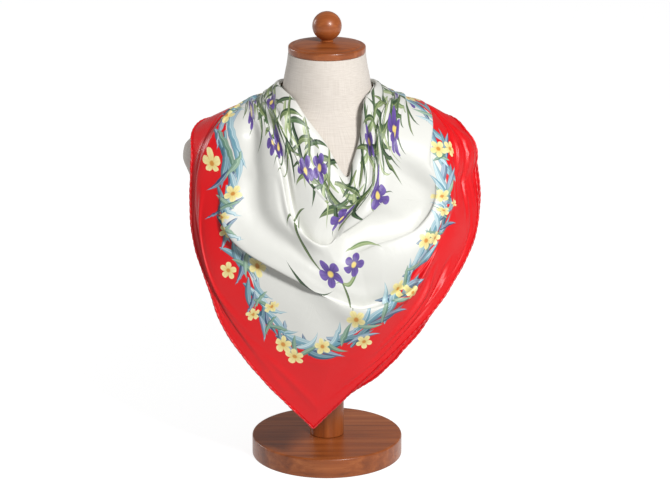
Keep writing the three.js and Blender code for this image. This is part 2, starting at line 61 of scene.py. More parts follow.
def add_object(name, data):
    made = bpy.data.objects.new(name, data)
    bpy.context.scene.collection.objects.link(made)
    return made


lens = bpy.data.cameras.new("camera")
lens.sensor_width = 36
lens.lens = LENS_WIDTH
lens.shift_x = SIDE_SHIFT
lens.clip_end = 60
camera = add_object("camera", lens)
camera.location = (0, -CAMERA_AWAY, CAMERA_HEIGHT)
camera.rotation_euler = (math.pi / 2 - CAMERA_PITCH, 0, 0)
bpy.context.scene.camera = camera
print("camera lens, millimetres:", lens.lens)

# %% [markdown]
# ## Nodes and materials
# Every finish in this lesson is built from shader nodes. Short helpers keep that readable: one adds a node
# and fills its sockets, a few do sums, and the last starts a material with its main shader.

# %% Helpers for nodes
def fill(tree, socket, value):
    if isinstance(value, bpy.types.NodeSocket):
        tree.links.new(value, socket)
    else:
        socket.default_value = value


def node(tree, kind, inputs=None, **settings):
    made = tree.nodes.new(kind)
    for name, value in settings.items():
        setattr(made, name, value)
    for name, value in (inputs or {}).items():
        fill(tree, made.inputs[name], value)
    return made


def calc(operation, *values, clamp=False):
    """A sum over sockets and numbers, in the tree that the sockets belong to."""
    tree = next(value.id_data for value in values if isinstance(value, bpy.types.NodeSocket))
    made = tree.nodes.new("ShaderNodeMath")
    made.operation = operation
    made.use_clamp = clamp
    for socket, value in zip(made.inputs, values):
        fill(tree, socket, value)
    return made.outputs[0]


def add(first, second, clamp=False):
    return calc("ADD", first, second, clamp=clamp)


def less(first, second):
    return calc("SUBTRACT", first, second)


def times(first, second):
    return calc("MULTIPLY", first, second)


def over(first, second):
    return calc("DIVIDE", first, second)


def blend_colours(share, first, second):
    made = share.id_data.nodes.new("ShaderNodeMix")
    made.data_type = "RGBA"
    for socket, value in zip((made.inputs["Factor"], made.inputs[6], made.inputs[7]), (share, first, second)):
        fill(share.id_data, socket, value)
    return made.outputs[2]


def from_range(value, low, high, to_low=0.0, to_high=1.0):
    made = node(value.id_data, "ShaderNodeMapRange", {
        "Value": value, "From Min": low, "From Max": high, "To Min": to_low, "To Max": to_high})
    made.interpolation_type = "SMOOTHSTEP"
    return made.outputs["Result"]


def noise(place, scale, detail, **more):
    """Cloudy noise from 0 to 1."""
    inputs = {"Vector": place, "Scale": scale, "Detail": detail, **more}
    return node(place.id_data, "ShaderNodeTexNoise", inputs).outputs["Fac"]


def uv_parts(tree, name):
    """A UV map's place, and its two measures apart."""
    place = node(tree, "ShaderNodeUVMap", uv_map=name).outputs["UV"]
    return place, node(tree, "ShaderNodeSeparateXYZ", {"Vector": place}).outputs


def add_relief(surface, height, strength, distance):
    made = node(height.id_data, "ShaderNodeBump", {
        "Height": height, "Strength": strength, "Distance": distance})
    height.id_data.links.new(made.outputs["Normal"], surface.inputs["Normal"])


def colour(red, green, blue):
    """A colour picked as it looks on a screen, from 0 to 255, as the linear colour that a shader takes."""
    shares = np.array([red, green, blue]) / 255
    linear = np.where(shares <= 0.04045, shares / 12.92, ((shares + 0.055) / 1.055) ** 2.4)
    return (*linear.tolist(), 1.0)


def new_finish(name, **shader):
    finish = bpy.data.materials.new(name)
    finish.use_nodes = True
    tree = finish.node_tree
    surface = tree.nodes["Principled BSDF"]
    for socket, value in shader.items():
        surface.inputs[socket.replace("_", " ")].default_value = value
    return finish, tree, surface

# %% [markdown]
# ## The room
# A plain white sweep, lit by a pale surrounding sky, a weak lamp behind and a large one in front. The front
# lamp is large because silk shows the size of its light: a small one would draw hard streaks on each
# fold. The floor isn't part of the object.

# %% Floor and light
def floor_plane(half):
    mesh = bpy.data.meshes.new("floor")
    corners = [(-half, -half, 0), (half, -half, 0), (half, half, 0), (-half, half, 0)]
    mesh.from_pydata(corners, [], [(0, 1, 2, 3)])
    return add_object("floor", mesh)


floor = floor_plane(12)
FLOOR_GREY, FLOOR_GLOW = (0.30, 0.30, 0.30, 1), 0.86
floor_paint, *_ = new_finish("floor_paint", Roughness=0.9, Base_Color=FLOOR_GREY, Emission_Color=(1, 1, 1, 1),
                             Emission_Strength=FLOOR_GLOW)
floor.data.materials.append(floor_paint)
floor.visible_diffuse = False


def soft_lamp(name, place, aim, size, watts):
    lamp = bpy.data.lights.new(name, "AREA")
    lamp.shape = "DISK"
    lamp.size = size
    lamp.energy = watts
    holder = add_object(name, lamp)
    holder.location = place
    away = np.array(place) - np.array(aim)
    flat = math.hypot(away[0], away[1])
    holder.rotation_euler = (math.atan2(flat, away[2]), 0, math.atan2(away[0], -away[1]))


CHEST_MIDDLE = (0, 0, 0.35)
soft_lamp("key_lamp", (1.1, -2.1, 1.85), CHEST_MIDDLE, 0.5, 78)
soft_lamp("back_lamp", (-2.5, 1.5, 1.1), CHEST_MIDDLE, 1.0, 22)
sky = bpy.data.worlds.new("sky")
sky.use_nodes = True
SKY_STRENGTH = 0.31
sky_light = sky.node_tree.nodes["Background"].inputs
sky_light["Color"].default_value = (1, 1, 1, 1)
sky_light["Strength"].default_value = SKY_STRENGTH
bpy.context.scene.world = sky
bpy.context.scene.view_settings.view_transform = "Standard"

# %% [markdown]
# ## Reading tables smoothly
# The shapes here are drawn as short tables, such as the width of the form at each level. A table could be
# joined with straight lines, but each row would show as a crease. A cubic that never overshoots between
# its rows keeps the outline smooth and honest.

# %% Helpers for tables and curves
def cubic(share, start, end, start_slope, end_slope):
    two, three = share ** 2, share ** 3
    return ((2 * three - 3 * two + 1) * start + (three - 2 * two + share) * start_slope
            + (3 * two - 2 * three) * end + (three - two) * end_slope)


def read_table(rows, column, at):
    """One column of a table at the values in at. The first column holds the keys."""
    table = np.array(rows, float)
    keys, values = table[:, 0], table[:, column]
    spans = np.diff(keys)
    rates = np.diff(values) / spans
    slopes = np.zeros(len(keys))
    slopes[0], slopes[-1] = rates[0], rates[-1]
    before, after = rates[:-1], rates[1:]
    agree = before * after > 0
    slopes[1:-1][agree] = 2 * before[agree] * after[agree] / (before + after)[agree]
    at = np.clip(at, keys[0], keys[-1])
    i = np.clip(np.searchsorted(keys, at, side="right") - 1, 0, len(spans) - 1)
    share = (at - keys[i]) / spans[i]
    return cubic(share, values[i], values[i + 1], slopes[i] * spans[i], slopes[i + 1] * spans[i])


def line_slopes(keys, points, calm=None):
    """The slope at each point of a curve, points running along their first axis."""
    spans = np.diff(keys).reshape(-1, *[1] * (points.ndim - 1))
    rates = np.diff(points, axis=0) / spans
    slopes = np.empty_like(points)
    slopes[0], slopes[-1] = rates[0], rates[-1]
    slopes[1:-1] = (rates[:-1] * spans[1:] + rates[1:] * spans[:-1]) / (spans[:-1] + spans[1:])
    if calm is not None:
        pace = np.linalg.norm(rates, axis=-1, keepdims=True)
        most = calm * np.minimum(pace[:-1], pace[1:])
        length = np.maximum(np.linalg.norm(slopes[1:-1], axis=-1, keepdims=True), 1e-9)
        slopes[1:-1] *= np.minimum(1, most / length)
    return rates, slopes


def curve_through(keys, points, at, corner=None):
    """Points of a smooth curve at the values in at, with a sharp turn at the point numbered corner."""
    keys, points = np.array(keys, float), np.array(points, float)
    rates, slopes = line_slopes(keys, points)
    i = np.clip(np.searchsorted(keys, at, side="right") - 1, 0, len(keys) - 2)
    span = (keys[i + 1] - keys[i])[:, None]
    share = ((at - keys[i]) / (keys[i + 1] - keys[i]))[:, None]
    start, end = slopes[i].copy(), slopes[i + 1].copy()
    if corner is not None:
        start[i == corner] = rates[corner]
        end[i + 1 == corner] = rates[corner - 1]
    return cubic(share, points[i], points[i + 1], start * span, end * span)

# %% [markdown]
# ## Meshes from grids
# Cloth, turned wood and the form are all grids of points bent into shape. One helper turns a grid into a
# mesh, and another closes the two ends of a grid that runs round, so that it is a body and not a pipe.

# %% Helpers for meshes
def add_piece(name, points, faces, finish):
    mesh = bpy.data.meshes.new(name)
    points = np.asarray(points, float)
    faces = np.asarray(faces, np.int32)
    mesh.vertices.add(len(points))
    mesh.vertices.foreach_set("co", (points * MM).ravel())
    mesh.loops.add(faces.size)
    mesh.loops.foreach_set("vertex_index", faces.ravel())
    mesh.polygons.add(len(faces))
    mesh.polygons.foreach_set("loop_start", np.arange(0, faces.size, faces.shape[1], dtype=np.int32))
    mesh.polygons.foreach_set("use_smooth", np.full(len(faces), True))
    mesh.update(calc_edges=True)
    mesh.validate()
    mesh.materials.append(finish)
    return add_object(name, mesh)


def grid_faces(rows, columns, start=0, ring=False, flip=False):
    """Four-cornered faces of a grid. A ring's last column meets its first."""
    last = columns if ring else columns - 1
    i, j = np.meshgrid(np.arange(rows - 1), np.arange(last), indexing="ij")
    right = (j + 1) % columns
    this, following = i * columns, (i + 1) * columns
    faces = np.stack([this + j, this + right, following + right, following + j], -1).reshape(-1, 4) + start
    return faces[:, ::-1] if flip else faces


def close_with(piece, triangles):
    """The same mesh with more triangles."""
    mesh = piece.data
    points = [v.co[:] for v in mesh.vertices]
    faces = [tuple(p.vertices) for p in mesh.polygons] + [tuple(int(v) for v in t) for t in triangles]
    whole = bpy.data.meshes.new(mesh.name)
    whole.from_pydata(points, [], faces)
    whole.polygons.foreach_set("use_smooth", np.full(len(faces), True))
    for finish in mesh.materials:
        whole.materials.append(finish)
    piece.data = whole
    whole.update()
    return piece


def closed_rings(name, rings, finish, centres=None):
    """A body from rings of points, with both ends closed round their centres."""
    rows, columns = rings.shape[:2]
    if centres is None:
        centres = rings[0].mean(0), rings[-1].mean(0)
    points = np.vstack([rings.reshape(-1, 3), *centres])
    piece = add_piece(name, points, grid_faces(rows, columns, ring=True), finish)
    centre, last = rows * columns, (rows - 1) * columns
    return close_with(piece, [[centre, (k + 1) % columns, k] for k in range(columns)]
                      + [[centre + 1, last + k, last + (k + 1) % columns] for k in range(columns)])


def angles_round(count):
    return np.arange(count) * 2 * math.pi / count


def turn_profile(name, profile, sides, finish):
    """Wood from the lathe: a profile of radius and height, closed at both ends on the axis."""
    profile = np.array(profile, float)
    angles = angles_round(sides)
    rings = np.stack([
        profile[:, :1] * np.cos(angles), profile[:, :1] * np.sin(angles), profile[:, 1:] + 0 * angles], -1)
    return closed_rings(name, rings, finish, [(0, 0, profile[0, 1]), (0, 0, profile[-1, 1])])


def rounded(centre, radius, start, end, steps):
    """An arc of a profile, as rows of radius and height. Angles are in degrees from outwards."""
    angles = np.radians(np.linspace(start, end, steps))
    return [(centre[0] + radius * math.cos(a), centre[1] + radius * math.sin(a)) for a in angles]

# %% [markdown]
# ## The wood
# The base, post, neck cap and ball are turned on a lathe and varnished. Grain could be painted, but real
# grain runs through the timber and comes out differently on a top and on a rim. So the colour is read in
# space: long streaks along the board, finer dark pores, and a satin coat over it.

# %% Varnished wood
def wood_finish(name, along):
    finish, tree, surface = new_finish(
        name, Roughness=0.4, Coat_Weight=0.14, Coat_Roughness=0.16, Specular_IOR_Level=0.35)
    place = node(tree, "ShaderNodeTexCoord").outputs["Object"]
    stretch = {"x": (3.0, 95, 95), "z": (95, 95, 3.0)}[along]
    board = node(tree, "ShaderNodeMapping", {"Vector": place, "Scale": stretch}).outputs["Vector"]
    streaks = noise(board, 1.0, 5.0, Roughness=0.6, Distortion=0.4)
    pores = noise(board, 6.5, 3.0, Roughness=0.7)
    clouds = noise(place, 14.0, 2.0)
    tone = node(tree, "ShaderNodeValToRGB", {"Fac": streaks})
    ramp = tone.color_ramp
    ramp.elements[0].position, ramp.elements[0].color = 0.30, colour(116, 58, 24)
    ramp.elements[1].position, ramp.elements[1].color = 0.72, colour(178, 104, 54)
    middle = ramp.elements.new(0.5)
    middle.color = colour(148, 78, 34)
    dark = from_range(pores, 0.40, 0.30)
    warm = from_range(clouds, 0.35, 0.7)
    shaded = blend_colours(times(dark, 0.4), tone.outputs["Color"], colour(78, 36, 16))
    tinted = blend_colours(times(warm, 0.25), shaded, colour(164, 82, 34))
    tree.links.new(tinted, surface.inputs["Base Color"])
    shine = from_range(pores, 0.3, 0.7, 0.42, 0.31)
    tree.links.new(shine, surface.inputs["Roughness"])
    add_relief(surface, pores, 0.12, 0.0004)
    return finish


board_wood = wood_finish("board_wood", "x")
post_wood = wood_finish("post_wood", "z")

# %% Turn the base, post, cap and ball
SEAM = 0.3
BASE = {"radius": 106.6, "height": 28.4, "edge": 2.6, "foot": 1.0}
POST = {"radius": 24}
FORM_FOOT = 190
NECK_TOP = 585
CAP = {"radius": 53.5, "rim": 11, "dome": 16, "round": 3}
BALL = {"radius": 20.3, "stem": 9, "stem_height": 3}

base_profile = [
    (BASE["radius"] * 0.5, 0), (BASE["radius"] - 4, 0),
    *rounded((BASE["radius"] - BASE["foot"], BASE["foot"]), BASE["foot"], -90, 0, 6),
    (BASE["radius"], 6), (BASE["radius"], BASE["height"] - 8),
    *rounded((BASE["radius"] - BASE["edge"], BASE["height"] - BASE["edge"]), BASE["edge"], 0, 90, 9),
    (BASE["radius"] - 8, BASE["height"]), (BASE["radius"] * 0.5, BASE["height"]), (26, BASE["height"]),
]
base = turn_profile("wooden_base", base_profile, 160, board_wood)
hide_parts("base_disc")

post_low, post_high = BASE["height"] + SEAM, FORM_FOOT - SEAM
post_profile = [
    (POST["radius"] - 3, post_low), (POST["radius"], post_low), (POST["radius"], post_low + 1.2),
    *[(POST["radius"], z) for z in np.linspace(post_low + 6, post_high - 6, 8)],
    (POST["radius"], post_high - 1.2), (POST["radius"], post_high), (POST["radius"] - 3, post_high),
]
post = turn_profile("wooden_post", post_profile, 96, post_wood)
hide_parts("post")

# share of the cap's radius, height above its rim
CAP_DOME = [(0.90, -0.5), (0.88, -0.3), (0.86, 0.7), (0.80, 1.8), (0.70, 2.9), (0.58, 3.8),
            (0.45, 4.4), (0.34, 4.8)]
cap_low = NECK_TOP + SEAM
rim_top = cap_low + CAP["rim"]
cap_profile = [
    (CAP["radius"] * 0.5, cap_low), (CAP["radius"] - 6, cap_low),
    *rounded((CAP["radius"] - CAP["round"], cap_low + CAP["round"]), CAP["round"], -90, 0, 8),
    *rounded((CAP["radius"] - CAP["round"], rim_top - CAP["round"]), CAP["round"], 0, 74, 8),
    *[(CAP["radius"] * share, rim_top + up) for share, up in CAP_DOME],
    (CAP["radius"] * 0.28, cap_low + CAP["dome"]),
    (BALL["stem"] + 0.5, cap_low + CAP["dome"]),
]
cap = turn_profile("wooden_neck_cap", cap_profile, 120, board_wood)
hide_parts("neck_cap")

ball_foot = NECK_TOP + SEAM + CAP["dome"] + SEAM
ball_start = math.asin(BALL["stem"] / BALL["radius"])
ball_centre = ball_foot + BALL["stem_height"] + BALL["radius"] * math.cos(ball_start)
ball_profile = [
    (BALL["stem"] * 0.6, ball_foot), (BALL["stem"], ball_foot), (BALL["stem"] - 0.6, ball_foot + 1.2),
    *[(BALL["radius"] * math.sin(a), ball_centre - BALL["radius"] * math.cos(a))
      for a in np.linspace(ball_start, math.pi - 0.05, 34)],
]
ball = turn_profile("wooden_ball", ball_profile, 96, board_wood)
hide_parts("ball_finial")
for turned in (base, post, cap, ball):
    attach(turned, "root")
print("turned pieces:", [p.name for p in (base, post, cap, ball)])

# %% [markdown]
# ## The dress form
# A limbless form covered in pale linen. It could be sculpted, but its body is an oval at each level, wider
# at the shoulders and deeper at the chest, so a short table of widths and depths draws it. The weave is
# two crossed sets of fine threads with a few thicker slubs, which is what makes linen look like linen.

# %% Linen over the form
THREADS_A_METRE = 1300


def linen_finish():
    finish, tree, surface = new_finish("linen", Roughness=0.85, Sheen_Weight=0.2, Sheen_Roughness=0.6)
    weave, parts = uv_parts(tree, "weave")
    swings = [calc("SINE", times(parts[axis], THREADS_A_METRE * math.pi)) for axis in "XY"]
    cross = calc("MAXIMUM", *[calc("MULTIPLY_ADD", swing, 0.5, 0.5) for swing in swings])
    stretched = [node(tree, "ShaderNodeMapping", {"Vector": weave, "Scale": scale}).outputs["Vector"]
                 for scale in ((30, 900, 1), (900, 30, 1))]
    slubs = times(add(*[noise(place, 1.0, 2.0) for place in stretched]), 0.5)
    tone = blend_colours(from_range(slubs, 0.36, 0.64), colour(206, 197, 187), colour(222, 214, 205))
    fine = blend_colours(times(less(1.0, cross), 0.3), tone, colour(196, 183, 170))
    tree.links.new(fine, surface.inputs["Base Color"])
    add_relief(surface, add(times(cross, 0.5), slubs), 0.22, 0.0003)
    return finish


# level, half of the width, depth before the post's axis, depth behind it
FORM = [
    (190, 119, 95, 73), (195, 127, 102, 80), (208, 135, 110, 86), (230, 143, 119, 91), (260, 150, 125, 97),
    (290, 154, 125, 102), (330, 161, 119, 107), (365, 171, 111, 109), (395, 183, 103, 108),
    (420, 194, 95, 105), (438, 200, 89, 101), (452, 198, 83, 97), (463, 189, 78, 93), (474, 172, 74, 88),
    (485, 150, 70, 83), (497, 122, 66, 76), (508, 93, 63, 70), (518, 72, 61, 65), (528, 64.5, 60, 61),
    (540, 61, 59, 58), (555, 58.5, 57.5, 56), (570, 55.5, 55.5, 55), (NECK_TOP, 53.5, 53.5, 53.5),
]
WIDTH, FRONT, BACK = 1, 2, 3


def add_uv(piece, name, places):
    """A UV map from a place for each point, in metres on the cloth."""
    layer = piece.data.uv_layers.new(name=name)
    corners = np.empty(len(piece.data.loops), np.int32)
    piece.data.loops.foreach_get("vertex_index", corners)
    layer.data.foreach_set("uv", np.asarray(places, np.float32)[corners].ravel())


def form_points(levels, sides):
    angles = angles_round(sides)
    width = read_table(FORM, WIDTH, levels)[:, None]
    front = read_table(FORM, FRONT, levels)[:, None]
    back = read_table(FORM, BACK, levels)[:, None]
    depth = np.where(np.sin(angles) < 0, front, back)
    return np.stack([width * np.cos(angles), depth * np.sin(angles), levels[:, None] + 0 * angles], -1)


def make_form(sides=160):
    levels = np.unique(np.concatenate([
        [190, 190.6, 191.6, 193, 195, 198, 202], np.linspace(208, 420, 44), np.linspace(424, 530, 60),
        np.linspace(534, 583, 16), [584, 584.6, NECK_TOP]]))
    rings = form_points(levels, sides)
    cloth = np.stack([np.broadcast_to(np.abs(np.sin(angles_round(sides) / 2)) * 0.45, rings.shape[:2]),
                      np.broadcast_to(levels[:, None] * MM, rings.shape[:2])], -1)
    piece = closed_rings("linen_form", rings, linen_finish(), [(0, 0, levels[0]), (0, 0, levels[-1])])
    add_uv(piece, "weave", np.vstack([cloth.reshape(-1, 2), [0.2, 0.19], [0.2, 0.585]]))
    return piece


form = make_form()
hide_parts("dress_form")
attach(form, "root")
print("linen form faces:", len(form.data.polygons))

# %% [markdown]
# ## How the silk hangs
# The square is folded corner to corner, so it hangs as a triangle with its corner on the chest. A cloth
# simulation would settle somewhere else each time the fold is nudged, and the folds here have known
# places. So the drape is drawn as six lines from shoulder to shoulder, from the neck fold to the hem,
# and a smooth surface is passed through them. "turn" runs from -1 at the knot, through 0 at the middle
# of the chest, to 1 at the knot again, and "across" runs from 0 at the neck fold to 1 at the hem.

# %% The lines of the drape
# level, how far the silk stands forward of the post at the middle of the chest
CHEST = [
    (40, 137), (100, 142), (150, 147), (200, 150), (250, 150), (300, 142), (350, 127), (380, 116),
    (400, 108), (425, 98), (450, 89), (480, 80), (510, 72), (540, 64), (560, 60),
]
CHEST_HALF_WIDTH = 238
SHOULDER_Y = 8
SHOULDER_TURN = 0.62
LINES = [0, 0.12, 0.257, 0.335, 0.487, 1]
# turn, then the sideways place and level of the neck fold, the roll, the inner, outer and cowl lines
DRAPE = [
    (-0.62, (-59, 541), (-80, 525), (-97, 510), (-106, 513), (-116, 509)),
    (-0.45, (-41, 530), (-64, 510), (-76, 494), (-92, 494), (-135, 491)),
    (-0.29, (-20, 501), (-47, 478), (-58, 443), (-83, 435), (-145, 424)),
    (-0.13, (1, 474), (-23, 439), (-39, 381), (-61, 372), (-119, 341)),
    (0, (26, 434), (22, 397), (-1, 353), (8, 328), (15, 277)),
    (0.13, (35, 454), (51, 419), (50, 384), (74, 343), (89, 286)),
    (0.29, (44, 485), (62, 449), (79, 430), (131, 390), (138, 324)),
    (0.45, (50, 528), (65, 501), (88, 482), (156, 457), (173, 392)),
    (0.62, (61, 541), (83, 523), (104, 509), (139, 502), (145, 499)),
]
# turn, then the place of the hem, with the square's corner at turn 0
HEM = [
    (-0.62, (-178, 8, 476)), (-0.54, (-181, -33, 455)), (-0.45, (-186, -50, 426)),
    (-0.36, (-187, -64, 370)), (-0.29, (-181, -82, 333)), (-0.21, (-163, -105, 284)),
    (-0.13, (-137, -122, 220)), (-0.06, (-84, -138, 154)), (0, (-19, -141, 88)), (0.06, (38, -145, 147)),
    (0.13, (100, -136, 206)), (0.21, (147, -118, 253)), (0.29, (176, -95, 291)), (0.36, (197, -68, 324)),
    (0.45, (209, -38, 366)), (0.54, (203, -16, 424)), (0.62, (187, 8, 476)),
]
KNOT = {"x": 12, "y": 92, "z": 509, "drop": 20, "panel_end": 0.975}
BEHIND = {"turn": 0.81, "y": 70, "spread": 18, "lift": 2, "sag": 16}


def chest_depth(x, z):
    return read_table(CHEST, 1, z) * np.sqrt(np.maximum(1 - (x / CHEST_HALF_WIDTH) ** 2, 0.02))


def whole_line(turns, front, across):
    """A line of the drape with its way over the shoulders to the knot."""
    def knot(side):
        return np.array([side * KNOT["x"], KNOT["y"], KNOT["z"] - KNOT["drop"] * across])

    def behind(shoulder, side):
        p = (shoulder + knot(side)) / 2
        p[1] = max(p[1], BEHIND["y"] + BEHIND["spread"] * across)
        p[2] += BEHIND["lift"] - BEHIND["sag"] * across
        return p

    keys = [-1, -BEHIND["turn"], *turns, BEHIND["turn"], 1]
    return keys, np.array([knot(-1), behind(front[0], -1), *front, behind(front[-1], 1), knot(1)])


def drape_line(number):
    front = []
    for row in DRAPE:
        x, z = row[1 + number]
        y = SHOULDER_Y if abs(row[0]) == SHOULDER_TURN else -float(chest_depth(x, z))
        front.append(np.array([x, y, z], float))
    return whole_line([row[0] for row in DRAPE], front, LINES[number])


def hem_line():
    return whole_line([row[0] for row in HEM], [np.array(row[1], float) for row in HEM], 1)


def lines_at(turns):
    """The six lines' points at each turn."""
    made = [curve_through(*drape_line(n), turns) for n in range(len(LINES) - 1)]
    keys, points = hem_line()
    made.append(curve_through(keys, points, turns, corner=keys.index(0)))
    return np.stack(made)


print("hem points:", len(HEM) + 4)

# %% [markdown]
# ## From lines to a surface
# At each turn the six points are joined by one calm curve. Then the cloth is pushed out wherever it would
# cut into the form. A hard limit would leave a ridge, so the push grows softly as the cloth comes near.

# %% The smooth drape
CALM = 1.6
HEM_LEAD = 0.02


def smooth_drape(turns, places):
    """Points of the drape before its folds, for each turn and each place across."""
    keys = np.array(LINES, float)
    points = lines_at(turns)
    _, slopes = line_slopes(keys, points, CALM)

    def at(place):
        i = np.clip(np.searchsorted(keys, place, side="right") - 1, 0, len(keys) - 2)
        span = keys[i + 1] - keys[i]
        share = ((place - keys[i]) / span)[..., None]
        row = np.broadcast_to(np.arange(len(turns))[:, None], place.shape)
        return cubic(share, points[i, row], points[i + 1, row],
                     slopes[i, row] * span[..., None], slopes[i + 1, row] * span[..., None])

    inside = at(np.minimum(places, 1))
    if places.max() <= 1:
        return inside
    edge, lead = at(np.ones_like(places)), at(np.full_like(places, 1 - HEM_LEAD))
    past = (np.maximum(places - 1, 0) / HEM_LEAD)[..., None]
    return inside + (edge - lead) * past


def form_share(p):
    width = read_table(FORM, WIDTH, p[..., 2])
    front, back = read_table(FORM, FRONT, p[..., 2]), read_table(FORM, BACK, p[..., 2])
    return np.hypot(p[..., 0] / width, p[..., 1] / np.where(p[..., 1] < 0, front, back)) - 1


def form_field(p, feel=3.0):
    """About how far outside the form a point lies, and the way straight out."""
    steps = np.eye(3) * feel
    out = np.stack([form_share(p + step) - form_share(p - step) for step in steps], -1) / (2 * feel)
    steepness = np.maximum(np.linalg.norm(out, axis=-1, keepdims=True), 1e-6)
    return form_share(p) / steepness[..., 0], out / steepness


PUSH = {"passes": 3, "most": 30, "softness": 4.0, "tightening": 0.35, "after_folds": 0.8}


def clear_of_form(p, gap, softness=PUSH["softness"]):
    for _ in range(PUSH["passes"]):
        distance, out = form_field(p)
        move = softness * np.log1p(np.exp(np.clip((gap - distance) / softness, -30, 30)))
        p = p + out * np.minimum(move, PUSH["most"])[..., None]
        softness *= PUSH["tightening"]
    return p

# %% [markdown]
# ## Folds and creases
# A fold in silk isn't a bump: the cloth turns under itself and comes back, so a little of it is hidden.
# Each fold therefore does two things along its line. It tucks cloth behind, which cuts the print as on
# real cloth, and it lifts the cloth in front. Creases are softer, and only lift or sink.

# %% The folds
FOLD_BEND, FOLD_REACH, FOLD_FADE, FOLD_HEIGHT = 0.0100, 0.125, 0.100, 1.75
# line across, side (1 has the lower cloth in front, -1 the upper), then rows of turn, tuck and rise
FOLDS = [
    (0.120, 1, [(-0.80, 0, 0), (-0.66, 0.006, 3), (-0.60, 0.014, 5), (-0.50, 0.022, 8), (-0.36, 0.024, 9),
                (-0.26, 0.012, 6), (-0.16, 0.020, 8), (-0.06, 0.026, 11), (-0.01, 0.012, 6), (0.04, 0, 0)]),
    (0.120, 1, [(0.05, 0, 0), (0.12, 0.006, 4), (0.20, 0.008, 6), (0.34, 0.010, 7), (0.50, 0.014, 8),
                (0.60, 0.012, 5), (0.66, 0.006, 3), (0.80, 0, 0)]),
    (0.257, 1, [(-0.80, 0, 0), (-0.66, 0.004, 3), (-0.60, 0.008, 5), (-0.45, 0.010, 7), (-0.30, 0.010, 8),
                (-0.16, 0.014, 10), (-0.10, 0.024, 13), (-0.04, 0.034, 15), (0, 0.030, 14), (0.03, 0.008, 6),
                (0.06, 0, 0)]),
    (0.257, -1, [(-0.02, 0, 0), (0.02, 0.006, 3), (0.06, 0.022, 11), (0.12, 0.030, 13), (0.18, 0.022, 11),
                 (0.24, 0.010, 6), (0.34, 0.006, 4), (0.50, 0.005, 4), (0.60, 0.008, 5), (0.72, 0, 0)]),
    (0.335, 1, [(-0.01, 0, 0), (0.05, 0.008, 5), (0.12, 0.020, 10), (0.20, 0.026, 12), (0.28, 0.022, 11),
                (0.35, 0.010, 6), (0.40, 0, 0)]),
    (0.335, -1, [(0.34, 0, 0), (0.40, 0.012, 7), (0.46, 0.022, 9), (0.54, 0.020, 8), (0.60, 0.014, 6),
                 (0.66, 0.008, 4), (0.78, 0, 0)]),
    (0.487, -1, [(-0.30, 0, 0), (-0.24, 0.006, 5), (-0.18, 0.016, 9), (-0.10, 0.024, 12), (-0.05, 0.018, 10),
                 (-0.02, 0.006, 4), (0.01, 0, 0)]),
    (0.487, 1, [(-0.05, 0, 0), (0, 0.012, 6), (0.05, 0.028, 13), (0.12, 0.030, 14), (0.18, 0.020, 11),
                (0.25, 0.008, 6), (0.34, 0, 0)]),
]
# turn, place across, depth of the soft trough down the viewer's left
TROUGH = [(-0.6, 0.36, 0), (-0.5, 0.365, 5), (-0.35, 0.375, 9), (-0.2, 0.38, 9), (-0.1, 0.37, 5),
          (-0.04, 0.36, 0)]
TROUGH_WIDTH = 0.035
BAND = {"across": 0.135, "swell": 9, "thinning": 0.35, "ending": 3, "fullness": 0.65}


def trough_at(turns, across):
    line = read_table(TROUGH, 1, turns)[:, None]
    depth = read_table(TROUGH, 2, turns)[:, None]
    return depth * np.exp(-((across - line) / TROUGH_WIDTH) ** 2)


def folds_at(turns, across):
    """Where the cloth at each place across really lies, and how far out the folds lift it."""
    place, rise = across.copy(), np.zeros_like(across)
    for line, side, rows in FOLDS:
        tuck = read_table(rows, 1, turns)[:, None]
        height = read_table(rows, 2, turns)[:, None]
        y = side * (across - line)
        past = np.clip((-y - 2 * FOLD_BEND) / FOLD_REACH, 0, 1)
        hold = np.where(y < 0, np.cos(past * math.pi / 2) ** 2, 1)
        place += side * tuck * (1 - np.tanh(y / FOLD_BEND)) * hold
        crest = (1 + np.tanh(y / (2 * FOLD_BEND))) / 2
        rise += FOLD_HEIGHT * height * crest * np.exp(-np.maximum(y, 0) / FOLD_FADE)
    rise -= trough_at(turns, across)
    share = np.clip(across / BAND["across"], 0, 1)
    away = np.abs(turns)
    swell = (BAND["swell"] * (1 - BAND["thinning"] * away) * (1 - away ** BAND["ending"]))[:, None]
    rise += swell * np.maximum(np.sin(math.pi * share), 0) ** BAND["fullness"]
    return np.clip(place, 0, 1), rise

